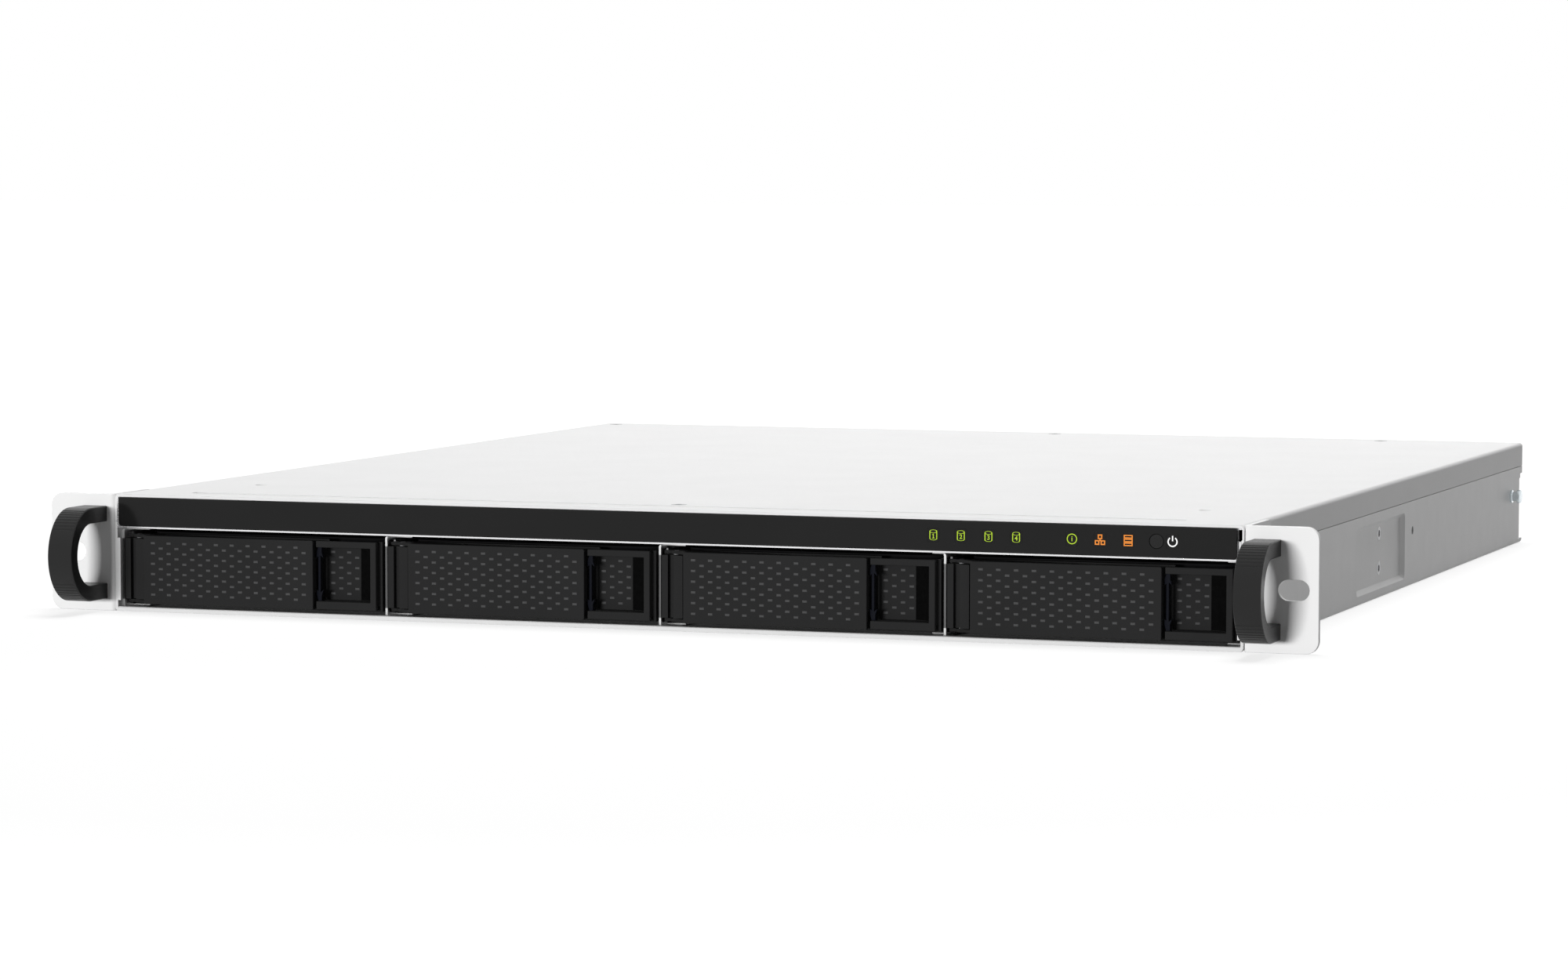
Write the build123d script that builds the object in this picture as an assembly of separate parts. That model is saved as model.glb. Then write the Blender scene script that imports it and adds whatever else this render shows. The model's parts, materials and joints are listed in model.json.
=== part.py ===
from build123d import *
import os
from math import cos, radians, sin

# A one-unit rackmount storage server with four pull-out drive trays.
# X runs to the right as seen from the front, Y to the back and Z up, in millimetres.
# Heights are measured from the underside. save() moves each piece down by half the height, so
# the origin of the finished part lies midway between the two ear slots, on the ears' front face.

# Fits and sheet
SHEET = 1.0
BEND = 1.0
FIT_GAP = 0.1
SEAT_GAP = 0.2
RUNNING_GAP = 0.05

# Drives, and the bays built up around them
DRIVE_WIDTH = 101.6
DRIVE_LENGTH = 147.0
DRIVE_HEIGHT = 26.1
DRIVE_SET_BACK = 14.0
DRIVE_SCREW_FROM_BACK = 28.5
DRIVE_SCREW_FROM_FRONT = 16.9
DRIVE_SCREW_HEIGHT = 6.35
RAIL_THICK = 1.4
RAIL_HEIGHT = 18.0
TRAY_FLOOR = 0.9
TRAY_TAIL = 2.0
TRAY_SIDE_GAP = 0.7
BAY_SHEET = 0.8
BAY_COUNT = 4
BAY_SET_BACK = 4.0
BAY_FLANGE = 7.0
BAY_TOP_GAP = 0.6
FRAME_TO_LEVER = 2.65

# Front of a tray
LEVER_LIFT = 0.95
LEVER_TOP_GAP = 0.65
LEVER_PROUD = 0.3
LEVER_THICK = 1.8
LEVER_START = 10.4
WINDOW_ZONE = 26.4
LEVER_ARM_THICK = 1.1
LEVER_ARM_REACH = 36.0
LEVER_OPEN_ANGLE = 65.0
PIN_RADIUS = 1.0
PIN_FROM_BAY = 5.2
PIN_BACK = 7.0
FOOT_RADIUS = 4.4
FOOT_THICK = 2.2
POST_WIDTH = 2.3
POST_SET_BACK = 3.0
STRIP_SET_BACK = 1.8
STRIP_WIDTH = 3.3
STRIP_END_GAP = 0.35
WINDOW_FRAME_START = 1.3
WINDOW_BAR = 2.35
WINDOW_BAR_LOW = 2.9
WINDOW_SIDE = 2.3
WINDOW_SIDE_INSET = 1.3
WINDOW_THICK = 2.0
SCOOP_DEPTH = 8.5
SCOOP_WALL = 1.2
SCOOP_CURVE = 7.4
LATCH_WIDTH = 2.7
LATCH_THICK = 1.6
LATCH_GAP = 0.35
LATCH_TRAVEL = 1.6
LATCH_SET_BACK = 2.3
LATCH_HOOK = 4.0
LATCH_TONGUE = 1.1
LATCH_ROD = 0.9

# Front frame, fascia and controls
FRAME_SHEET = 0.6
FRAME_DEPTH = 12.0
FRAME_TOP_FLANGE = 28.0
FRAME_PROUD = 0.3
FASCIA_HEIGHT = 10.7
FASCIA_THICK = 2.0
FASCIA_PROUD = 0.5
FASCIA_CORNER = 1.2
FASCIA_END_GAP = 0.6
END_SLOT_TALL = 4.1
END_SLOT_DEEP = 8.0
END_SLOT_INTO_LIP = 0.4
HEM_HEIGHT = 1.7
HEM_DEPTH = 3.5
ICONS_FROM_RIGHT = 110.1
ICON_PITCH = 10.05
ICONS_FROM_TOP = 6.3
ICON_WIDTH = 4.4
ICON_TALL = 4.8
BUTTON_SLOT = 8
BUTTON_RADIUS = 2.55
BUTTON_TRAVEL = 1.0
POWER_ICON_OFFSET = 5.7
LIGHT_PIPE_RADIUS = 1.2
BOARD_THICK = 1.6
PANEL_BOARD_SET_BACK = 5.0
PANEL_BOARD_HEIGHT = 9.7

# Cover
COVER_LIP = 9.9
COVER_BEND = 1.0
SEAM_GAP = 0.2
COVER_GROOVE_INSET = 24.5
COVER_GROOVE_BACK = 14.0
COVER_GROOVE_WIDTH = 4.0
COVER_GROOVE_DEEP = 0.3
COVER_SCREW_LEFT_INSET = 7.0
COVER_SCREW_MIDDLE = 5.0
COVER_SCREW_RIGHT_INSET = 60.0
COVER_REAR_SCREW_INSET = 9.0
COVER_FRONT_SCREW_BACK = 23.0
COVER_DIMPLE_INSET = 30.0
COVER_DIMPLE_BACK = 62.0
DIMPLE_RADIUS = 2.2
DIMPLE_DEEP = 0.35

# Rack ears and handles
EAR_WIDTH = 26.3
SLOT_INSET = 8.75
SLOT_LENGTH = 11.0
SLOT_WIDTH = 7.3
EAR_THICK = 2.0
EAR_FLANGE = 30.0
EAR_CORNER = 4.6
EAR_BEND = 0.5
EAR_SCREW_BACK = 20.0
EAR_SCREW_SPACING = 11.0
EAR_SCREW_DROP = 2.4
HANDLE_INSET = 3.3
HANDLE_WIDTH = 9.7
HANDLE_END_INSET = 4.45
HANDLE_STRAIGHT = 12.0
HANDLE_NOSE = 16.4
HANDLE_WALL = 5.4
HANDLE_END_WALL = 5.85
GRIP_GROOVES = 8
GRIP_GROOVE_RADIUS = 0.4
GRIP_FIRST_ANGLE = 36.0
GRIP_PITCH_ANGLE = 5.0

# Screws
SCREW_RADIUS = 1.5
SCREW_HEAD_RADIUS = 2.9
COUNTERSINK = 0.9
PAN_HEAD_HEIGHT = 1.7
DRIVE_RECESS = 0.8

# Sides of the chassis
RECESS_LEAD = 40.4
RECESS_LENGTH = 83.5
RECESS_LOW = 3.7
RECESS_TO_SEAM = 3.7
RECESS_DEEP = 1.7
RECESS_SLOPE = 45.0
SIDE_SCREW_LOW = 11.0
SIDE_SCREW_SPACING = 13.4
SIDE_HOLE_GAP = 13.9
SIDE_HOLE_UP = 21.7
SIDE_HOLE_RADIUS = 1.65
SIDE_HOLE_COLLAR = 2.2
STUD_INSET = 24.7
STUD_UP = 21.7
STUD_NECK_RADIUS = 2.0
STUD_HEAD_RADIUS = 2.8
STUD_NECK = 2.0
STUD_HEAD = 1.8
STUD_BASE = 0.8

# Fans
FAN_TOP_GAP = 0.3
FAN_DEPTH = 28.0
FAN_OFFSETS = (-90.0, 40.0)
FAN_HOLE_INSET = 4.0
FAN_BLADES = 7
FAN_WALL_SPACE = 44.9
AIR_SPACE = 99.6
FAN_WALL_FLANGE = 10.0
DUCT_WALL = 1.5
TIP_GAP = 0.8
HUB_RADIUS = 9.5
BLADE_THICK = 1.1
BLADE_ANGLE = 38.0
STRUT_COUNT = 4
STRUT_WIDTH = 2.4
STRUT_DEEP = 2.5

# Boards and what stands on them
SOCKET_REACH = 4.7
SOCKET_WIDTH = 43.0
SOCKET_HEIGHT = 6.4
BOARD_SIDE_GAP = 10.0
BOARD_TO_SUPPLY = 31.25
BOARD_AHEAD = 26.0
MAIN_BOARD_INSET = 6.0
STANDOFF_HEIGHT = 6.0
STANDOFF_RADIUS = 2.8
STANDOFF_INSET = 6.0
HEATSINK_SIDE = 56.0
HEATSINK_HEIGHT = 19.0
HEATSINK_BASE = 3.5
FIN_PITCH = 4.0
FIN_THICK = 1.2
HEATSINK_FROM_LEFT = 99.0
HEATSINK_SET_BACK = 50.0
MEMORY_WIDTH = 67.6
MEMORY_DEPTH = 30.0
MEMORY_FROM_RIGHT = 76.0
MEMORY_SET_BACK = 16.0
RJ45_FROM_LEFT = 182.0
RJ45_WIDTH = 16.0
RJ45_HEIGHT = 13.4
RJ45_DEPTH = 22.0
RJ45_MOUTH_WIDTH = 11.8
RJ45_MOUTH_HEIGHT = 7.4
RJ45_MOUTH_DEEP = 13.0
FIBRE_FROM_LEFT = 132.0
FIBRE_WIDTH = 14.9
FIBRE_HEIGHT = 10.0
FIBRE_DEPTH = 46.0
FIBRE_PITCH = 16.2
FIBRE_WALL = 0.5
USB_FROM_LEFT = 82.0
USB_WIDTH = 14.6
USB_HEIGHT = 15.7
USB_DEPTH = 17.5
USB_MOUTH_WIDTH = 12.6
USB_MOUTH_HEIGHT = 5.2
USB_MOUTH_DEEP = 11.0
USB_PITCH = 20.0

# Rear panel
REAR_SET_IN = 1.0
REAR_FLANGE = 11.0
REAR_LEAF = 8.0
LEAF_HOLE_RADIUS = 0.9
LEAF_HOLE_INSET = 3.6
CORNER_NOTCH_LENGTH = 4.0
CORNER_NOTCH_DROP = 3.0
CORNER_NOTCH_TALL = 2.0
CUTOUT_GAP = 0.3
VENT_TOP_GAP = 5.0
VENT_TALL = 9.0
VENT_WIDTH = 2.6
VENT_PITCH = 5.2
VENT_INSET = 11.0
VENT_TO_SLOT = 27.0
SLOT_COVER_FROM_RIGHT = 24.0
SLOT_COVER_LENGTH = 80.0
SLOT_COVER_HEIGHT = 14.0
SLOT_COVER_TOP_GAP = 4.5
SLOT_COVER_THICK = 0.9

# Power supply
PSU_WIDTH = 81.5
PSU_TOP_GAP = 1.1
PSU_DEPTH = 150.0
PSU_SIDE_GAP = 15.25
PSU_FRAME = 1.4
PSU_FAN_GAP = 2.2
PSU_FAN_DEPTH = 20.0
PSU_FAN_OFFSET = -18.5
PSU_GRILLE_THICK = 0.8
PSU_GRILLE_RINGS = 3
PSU_RING_WIDTH = 2.6
PSU_RING_PITCH = 5.0
PSU_SPOKE_WIDTH = 1.8
INLET_WIDTH = 27.0
INLET_HEIGHT = 20.0
INLET_DEPTH = 20.0
INLET_MOUTH_WIDTH = 24.0
INLET_MOUTH_HEIGHT = 16.0
INLET_MOUTH_DEEP = 16.0
INLET_OFFSET = 21.0
INLET_PIN_PITCH = 7.0
LEAD_RADIUS = 2.5

# Levels and places that follow from the sizes above
half_drive = DRIVE_WIDTH / 2
half_tray = half_drive + FIT_GAP + RAIL_THICK
bay_pitch = 2 * (half_tray + TRAY_SIDE_GAP) + BAY_SHEET
body_width = BAY_COUNT * bay_pitch + BAY_SHEET + 2 * SHEET
half_body = body_width / 2
half_inside = half_body - SHEET
tray_left = BAY_SHEET / 2 + TRAY_SIDE_GAP
tray_right = tray_left + 2 * half_tray
tray_bottom = SHEET + BAY_SHEET + SEAT_GAP
drive_bottom = tray_bottom + TRAY_FLOOR
drive_back = DRIVE_SET_BACK + DRIVE_LENGTH
lever_bottom = tray_bottom + LEVER_LIFT
lever_top = drive_bottom + DRIVE_HEIGHT - LEVER_TOP_GAP
lever_end = tray_right - WINDOW_ZONE
frame_bottom = lever_top + FRAME_TO_LEVER
fascia_bottom = frame_bottom + FRAME_SHEET + FIT_GAP
fascia_top = fascia_bottom + FASCIA_HEIGHT
cover_under = fascia_top + FIT_GAP
unit_height = cover_under + SHEET
slot_height = unit_height / 2
fascia_back = FASCIA_THICK - FASCIA_PROUD
icon_height = unit_height - ICONS_FROM_TOP
seam = unit_height - COVER_LIP - SEAM_GAP
lip_outside = half_body - SHEET - FIT_GAP
notch_top = seam - CORNER_NOTCH_DROP
notch_low = notch_top - CORNER_NOTCH_TALL
lip_inside = lip_outside - SHEET
bay_top = frame_bottom - BAY_TOP_GAP
handle_height = unit_height - 2 * HANDLE_END_INSET
backplane_front = drive_back + SEAT_GAP + SOCKET_REACH
fan_wall_front = backplane_front + BOARD_THICK + FAN_WALL_SPACE
fan_low = SHEET + SEAT_GAP
fan_size = cover_under - SHEET - FAN_TOP_GAP - fan_low
fan_centre = fan_low + fan_size / 2
side_screw_back = fan_wall_front + FAN_WALL_FLANGE / 2
recess_face = half_body - RECESS_DEEP
recess_start = fan_wall_front - RECESS_LEAD
side_hole_back = recess_start + RECESS_LENGTH + SIDE_HOLE_GAP
supply_front = fan_wall_front + SHEET + FAN_DEPTH + AIR_SPACE
rear_inside = supply_front + PSU_DEPTH
rear_outside = rear_inside + SHEET
body_depth = rear_outside + REAR_SET_IN
supply_height = cover_under - PSU_TOP_GAP - SHEET
supply_fan = supply_height - 2 * PSU_FAN_GAP
supply_x = half_inside - PSU_SIDE_GAP - PSU_WIDTH / 2
board_left = BOARD_SIDE_GAP - half_inside
board_right = supply_x - PSU_WIDTH / 2 - BOARD_TO_SUPPLY
board_front = supply_front - BOARD_AHEAD
board_back = body_depth - MAIN_BOARD_INSET
main_board_low = SHEET + STANDOFF_HEIGHT
main_board_top = main_board_low + BOARD_THICK
rj45_x = board_left + RJ45_FROM_LEFT
fibre_x = board_left + FIBRE_FROM_LEFT
usb_x = board_left + USB_FROM_LEFT
slot_cover_x = board_right - SLOT_COVER_FROM_RIGHT
slot_cover_low = cover_under - SLOT_COVER_TOP_GAP - SLOT_COVER_HEIGHT
cut_margin = 1.0


# Helpers for profiles in the three main planes
def front_plate(sketch, y_from, y_to):
    """Extrude a front-view sketch, drawn in X and Z, from one depth to another."""
    return extrude(Plane.XZ.offset(-y_from) * sketch, amount=y_from - y_to)


def side_plate(sketch, x_from, x_to):
    """Extrude a side-view sketch, drawn in Y and Z, between two places along X."""
    return extrude(Plane.YZ.offset(x_from) * sketch, amount=x_to - x_from)


def flat_plate(sketch, z_from, z_to):
    """Extrude a plan-view sketch between two heights."""
    return extrude(Plane.XY.offset(z_from) * sketch, amount=z_to - z_from)


def span(u_from, u_to, v_from, v_to, corner=0.0):
    """Rectangle between two corners, with rounded corners if asked."""
    width = u_to - u_from
    height = v_to - v_from
    place = Pos((u_from + u_to) / 2, (v_from + v_to) / 2)
    if corner > 0:
        return place * RectangleRounded(width, height, corner)
    return place * Rectangle(width, height)


def polygon(*points):
    """Closed face through the points."""
    return make_face(Polyline(*points, close=True))


def block(x_from, x_to, y_from, y_to, z_from, z_to):
    """Straight-sided block between two corners."""
    return flat_plate(span(x_from, x_to, y_from, y_to), z_from, z_to)


def rod(radius, start, end):
    """Round bar between two points."""
    axis = Vector(*end) - Vector(*start)
    return extrude(Plane(origin=start, z_dir=axis) * Circle(radius), amount=axis.length)


def countersunk_screw(point, inward, length):
    """Flat-headed screw: its head is flush at the point and its shank runs inward."""
    profile = polygon(
        (0, 0),
        (SCREW_HEAD_RADIUS, 0),
        (SCREW_RADIUS, COUNTERSINK),
        (SCREW_RADIUS, length),
        (0, length),
    )
    plane = Plane(origin=point, z_dir=Vector(*inward))
    upright = revolve(Plane.XZ * profile, Axis.Z)
    recess = extrude(RegularPolygon(SCREW_RADIUS, 6), amount=DRIVE_RECESS)
    return plane.location * (upright - recess)


def screw_hole(point, inward, length):
    """What a flat-headed screw takes out of the sheets that it holds."""
    profile = polygon(
        (0, -FIT_GAP),
        (SCREW_HEAD_RADIUS + RUNNING_GAP, -FIT_GAP),
        (SCREW_HEAD_RADIUS + RUNNING_GAP, 0),
        (SCREW_RADIUS + RUNNING_GAP, COUNTERSINK),
        (SCREW_RADIUS + RUNNING_GAP, length),
        (0, length),
    )
    plane = Plane(origin=point, z_dir=Vector(*inward))
    return plane.location * revolve(Plane.XZ * profile, Axis.Z)


def pan_head_screw(point, inward, length):
    """Screw whose domed head stands on the surface at the point."""
    shank = extrude(Circle(SCREW_RADIUS), amount=length)
    head = extrude(Circle(SCREW_HEAD_RADIUS), amount=-PAN_HEAD_HEIGHT)
    top_edge = head.edges().sort_by(Axis.Z)[0]
    head = fillet(top_edge, PAN_HEAD_HEIGHT / 2)
    recess = Pos(0, 0, -PAN_HEAD_HEIGHT) * extrude(RegularPolygon(SCREW_RADIUS, 6), amount=DRIVE_RECESS)
    plane = Plane(origin=point, z_dir=Vector(*inward))
    return plane.location * (head + shank - recess)


def save(name, *pieces):
    """Write one sub-part of one or more separate solids."""
    solids = [solid for piece in pieces for solid in piece.solids()]
    lowered = [Pos(0, 0, -slot_height) * solid for solid in solids]
    shape = lowered[0] if len(lowered) == 1 else Compound(lowered)
    export_step(shape, "parts/" + name + ".step")


# Chassis pan, with its joggled lips, front hem, stamped side recesses and holes
def recess_stamp(side, surface):
    """Tapered block with the recess's outline on one side surface, running inwards."""
    end = recess_start + RECESS_LENGTH
    outline = span(recess_start, end, RECESS_LOW, seam - RECESS_TO_SEAM, BEND + SHEET)
    stamp = extrude(Plane.YZ.offset(surface) * outline, amount=-RECESS_DEEP, taper=RECESS_SLOPE)
    return stamp if side > 0 else mirror(stamp, Plane.YZ)


def side_screw_points(side, surface):
    return [
        (side * surface, side_screw_back, SIDE_SCREW_LOW),
        (side * surface, side_screw_back, SIDE_SCREW_LOW + SIDE_SCREW_SPACING),
    ]


def ear_screw_points(side):
    return [
        (side * (half_body + EAR_THICK), EAR_SCREW_BACK, slot_height - EAR_SCREW_DROP + row * EAR_SCREW_SPACING)
        for row in (-1, 0, 1)
    ]


def chassis_pan():
    joggle = SHEET + FIT_GAP
    right = [
        (half_body, 0),
        (half_body, seam),
        (lip_outside, seam),
        (lip_outside, cover_under - SHEET - FIT_GAP),
        (lip_inside, cover_under - SHEET - FIT_GAP),
        (lip_inside, seam - SHEET),
        (half_inside, seam - SHEET - joggle),
        (half_inside, SHEET),
    ]
    left = [(-x, z) for x, z in reversed(right)]
    section = polygon(*right, *left)
    outer_corners = [v for v in section.vertices() if v.Y < SHEET / 2]
    section = fillet(outer_corners, BEND + SHEET / 2)
    floor_level = [v for v in section.vertices() if abs(v.Y - SHEET) < FIT_GAP]
    section = fillet([v for v in floor_level if abs(v.X) > half_inside - FIT_GAP], BEND / 2)
    pan = front_plate(section, 0, body_depth)
    frame_end = FRAME_DEPTH + cut_margin
    pan -= block(-half_inside, half_inside, -cut_margin, frame_end, frame_bottom - FIT_GAP, unit_height)
    pan -= block(
        -half_inside,
        half_inside,
        rear_inside - FIT_GAP,
        body_depth + cut_margin,
        seam - SHEET,
        unit_height,
    )
    hem = span(0, HEM_DEPTH, 0, HEM_HEIGHT)
    hem = fillet([v for v in hem.vertices() if v.X < FIT_GAP], HEM_HEIGHT * 0.4)
    pan += side_plate(hem, -half_inside, half_inside)
    for side in (-1, 1):
        inner = recess_stamp(side, half_inside)
        outer = recess_stamp(side, half_body)
        pan = pan + inner - outer
        inward = (-side, 0, 0)
        lip_low = lever_bottom + LEVER_ARM_THICK
        lip_high = lever_top - LEVER_ARM_THICK
        flange_edge = half_inside - BAY_SHEET - TRAY_SIDE_GAP / 2
        pan += block(*sorted((side * half_inside, side * flange_edge)), 0, SHEET, lip_low, lip_high)
        for point in side_screw_points(side, recess_face):
            pan -= screw_hole(point, inward, SHEET + cut_margin)
        outside = side * (half_body + cut_margin)
        within = side * (half_inside - cut_margin)
        for x, y, z in ear_screw_points(side):
            pan -= rod(SCREW_RADIUS + RUNNING_GAP, (outside, y, z), (within, y, z))
        collar_end = side * (half_body - SIDE_HOLE_COLLAR)
        wall = (side * half_inside, side_hole_back, SIDE_HOLE_UP)
        pan += rod(SIDE_HOLE_RADIUS + SHEET, wall, (collar_end, side_hole_back, SIDE_HOLE_UP))
        start = (outside, side_hole_back, SIDE_HOLE_UP)
        pan -= rod(SIDE_HOLE_RADIUS, start, (collar_end - side * cut_margin, side_hole_back, SIDE_HOLE_UP))
        notch = span(body_depth - CORNER_NOTCH_LENGTH, body_depth + cut_margin, notch_low, notch_top)
        notch += span(body_depth - REAR_LEAF, body_depth + cut_margin, SHEET + BEND, notch_low)
        pan -= side_plate(notch, *sorted((within, outside)))
    return pan


def rail_studs():
    """Shouldered studs near the back, which hang in the slots of a slide-rail kit."""
    profile = polygon(
        (0, 0),
        (STUD_HEAD_RADIUS, 0),
        (STUD_HEAD_RADIUS, STUD_BASE),
        (STUD_NECK_RADIUS, STUD_BASE),
        (STUD_NECK_RADIUS, STUD_BASE + STUD_NECK),
        (STUD_HEAD_RADIUS, STUD_BASE + STUD_NECK),
        (STUD_HEAD_RADIUS, STUD_BASE + STUD_NECK + STUD_HEAD),
        (0, STUD_BASE + STUD_NECK + STUD_HEAD),
    )
    stud = revolve(Plane.XZ * profile, Axis.Z)
    rim = stud.edges().sort_by(Axis.Z)[-1]
    stud = fillet(rim, STUD_HEAD / 3)
    place = (half_body, body_depth - STUD_INSET, STUD_UP)
    right = Plane(origin=place, z_dir=(1, 0, 0)).location * stud
    return [right, mirror(right, Plane.YZ)]


# Cover
def end_slot():
    """Dark slot between the right end of the fascia and the cover's lip, cut through both sheets."""
    left = half_inside - FRAME_SHEET - FIT_GAP - FASCIA_END_GAP
    right = half_inside + END_SLOT_INTO_LIP
    top = cover_under - FRAME_SHEET
    outline = span(left, right, top - END_SLOT_TALL, top)
    corner = [v for v in outline.vertices() if v.X > half_inside and v.Y < top - FIT_GAP]
    return front_plate(chamfer(corner, FRAME_SHEET), -cut_margin, END_SLOT_DEEP)


def cover_screw_points():
    rear = body_depth - COVER_REAR_SCREW_INSET
    left = COVER_SCREW_LEFT_INSET - half_inside
    right = half_inside - COVER_SCREW_RIGHT_INSET
    points = [(x, rear, unit_height) for x in (left, COVER_SCREW_MIDDLE, right)]
    return points + [(0, COVER_FRONT_SCREW_BACK, unit_height)]


def top_cover():
    low = unit_height - COVER_LIP
    outer = span(-half_body, half_body, low, unit_height)
    outer = fillet([v for v in outer.vertices() if v.Y > low + SHEET], COVER_BEND + SHEET / 2)
    inner = span(-half_inside, half_inside, low - cut_margin, cover_under)
    inner = fillet([v for v in inner.vertices() if v.Y > low + SHEET], COVER_BEND / 2)
    cover = front_plate(outer - inner, FIT_GAP, body_depth)
    half_groove = half_body - COVER_GROOVE_INSET
    groove = span(-half_groove, half_groove, COVER_GROOVE_BACK, COVER_GROOVE_BACK + COVER_GROOVE_WIDTH)
    cover -= flat_plate(groove, unit_height - COVER_GROOVE_DEEP, unit_height + cut_margin)
    for side in (-1, 1):
        dimple = Pos(side * (half_body - COVER_DIMPLE_INSET), COVER_DIMPLE_BACK) * Circle(DIMPLE_RADIUS)
        cover -= flat_plate(dimple, unit_height - DIMPLE_DEEP, unit_height + cut_margin)
    for point in cover_screw_points():
        cover -= screw_hole(point, (0, 0, -1), SHEET + cut_margin)
    return cover - end_slot()


def cover_screws():
    return [countersunk_screw(point, (0, 0, -1), 2 * SHEET) for point in cover_screw_points()]


# Front frame, fascia, light windows, power button and their board
def icon_places():
    """X of each light window: four drives, a gap, three states and the power symbol."""
    slots = [0, 1, 2, 3, 5, 6, 7]
    places = [half_inside - ICONS_FROM_RIGHT + slot * ICON_PITCH for slot in slots]
    return places + [button_place() + POWER_ICON_OFFSET]


def button_place():
    return half_inside - ICONS_FROM_RIGHT + BUTTON_SLOT * ICON_PITCH


def front_frame():
    """Folded sheet across the front: floor flange, web behind the fascia and roof flange."""
    profile = polygon(
        (-FRAME_PROUD, frame_bottom),
        (FRAME_DEPTH, frame_bottom),
        (FRAME_DEPTH, frame_bottom + FRAME_SHEET),
        (fascia_back + FRAME_SHEET, frame_bottom + FRAME_SHEET),
        (fascia_back + FRAME_SHEET, cover_under - FRAME_SHEET),
        (FRAME_TOP_FLANGE, cover_under - FRAME_SHEET),
        (FRAME_TOP_FLANGE, cover_under),
        (fascia_back, cover_under),
        (fascia_back, frame_bottom + FRAME_SHEET),
        (-FRAME_PROUD, frame_bottom + FRAME_SHEET),
    )
    frame = side_plate(profile, -half_inside, half_inside)
    past = block(lip_inside - FIT_GAP, half_body, FRAME_DEPTH, body_depth, 0, unit_height)
    frame = frame - past - mirror(past, Plane.YZ)
    cheek = span(-FRAME_PROUD, FRAME_DEPTH, frame_bottom, cover_under)
    cheek = fillet([v for v in cheek.vertices() if v.X < 0 and v.Y < frame_bottom + FIT_GAP], FASCIA_CORNER)
    for side in (-1, 1):
        frame += side_plate(cheek, *sorted((side * (half_inside - FRAME_SHEET), side * half_inside)))
    web_from = fascia_back - cut_margin
    web_to = fascia_back + 2 * FRAME_SHEET
    corners = [e for e in frame.edges().filter_by(Axis.Y) if e.center().Z > cover_under - FIT_GAP]
    frame = fillet([e for e in corners if abs(e.center().X) > half_inside - FIT_GAP], BEND / 2)
    for x in icon_places():
        frame -= rod(LIGHT_PIPE_RADIUS + FIT_GAP, (x, web_from, icon_height), (x, web_to, icon_height))
    x = button_place()
    frame -= rod(BUTTON_RADIUS + 2 * SHEET, (x, web_from, icon_height), (x, web_to, icon_height))
    point = cover_screw_points()[-1]
    low_point = (point[0], point[1], unit_height - 2 * SHEET - cut_margin)
    frame -= rod(SCREW_RADIUS + RUNNING_GAP, point, low_point)
    return frame - end_slot()


def icon_window(x, gap):
    half_wide = ICON_WIDTH / 2 + gap
    half_tall = ICON_TALL / 2 + gap
    return span(
        x - half_wide,
        x + half_wide,
        icon_height - half_tall,
        icon_height + half_tall,
        FRAME_SHEET + gap,
    )


def fascia_panel():
    half = half_inside - FRAME_SHEET - FIT_GAP
    right = half - FASCIA_END_GAP
    panel = front_plate(
        span(-half, right, fascia_bottom, fascia_top, FASCIA_CORNER), -FASCIA_PROUD, fascia_back
    )
    front = panel.faces().sort_by(Axis.Y)[0]
    panel = fillet(front.edges(), FASCIA_PROUD / 2)
    for x in icon_places():
        panel -= front_plate(icon_window(x, RUNNING_GAP), -2 * FASCIA_PROUD, fascia_back + cut_margin)
    hole = Pos(button_place(), icon_height) * Circle(BUTTON_RADIUS + FIT_GAP)
    return panel - front_plate(hole, -2 * FASCIA_PROUD, fascia_back + cut_margin)


def indicator_windows():
    """A flush window in the fascia for each light, with a light pipe back to its lamp."""
    lamp_face = PANEL_BOARD_SET_BACK - LEVER_ARM_THICK
    windows = []
    for x in icon_places():
        window = front_plate(icon_window(x, 0), -FASCIA_PROUD, fascia_back)
        windows.append(
            window + rod(LIGHT_PIPE_RADIUS, (x, fascia_back, icon_height), (x, lamp_face, icon_height))
        )
    return windows


def power_button():
    """Turned cap with a retaining shoulder behind the fascia and a stem to its switch."""
    shoulder = BUTTON_RADIUS + SHEET
    profile = polygon(
        (0, -FASCIA_PROUD),
        (BUTTON_RADIUS - FASCIA_PROUD / 2, -FASCIA_PROUD),
        (BUTTON_RADIUS, -FASCIA_PROUD / 2),
        (BUTTON_RADIUS, fascia_back + FIT_GAP),
        (shoulder, fascia_back + FIT_GAP),
        (shoulder, fascia_back + SHEET),
        (SCREW_RADIUS, fascia_back + SHEET),
        (SCREW_RADIUS, fascia_back + SHEET + FASCIA_PROUD),
        (0, fascia_back + SHEET + FASCIA_PROUD),
    )
    cap = revolve(Plane.XY * profile, Axis.Y)
    return Pos(button_place(), 0, icon_height) * cap


def front_panel_board():
    left = icon_places()[0] - ICON_WIDTH
    right = icon_places()[-1] + ICON_WIDTH
    top = cover_under - FRAME_SHEET
    front = PANEL_BOARD_SET_BACK
    board = block(left, right, front, front + BOARD_THICK, top - PANEL_BOARD_HEIGHT, top)
    lamp = LIGHT_PIPE_RADIUS
    for x in icon_places():
        board += block(
            x - lamp,
            x + lamp,
            front - LEVER_ARM_THICK + FIT_GAP,
            front,
            icon_height - lamp / 2,
            icon_height + lamp / 2,
        )
    x = button_place()
    side = BUTTON_RADIUS - FASCIA_PROUD
    stem_end = fascia_back + SHEET + FASCIA_PROUD
    switch_face = stem_end + BUTTON_TRAVEL + FIT_GAP
    board += block(x - side, x + side, switch_face, front, icon_height - side, icon_height + side)
    return board


# Rack ears, handles and their screws
def handle_centre():
    return half_body + HANDLE_INSET + HANDLE_WIDTH / 2


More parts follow.
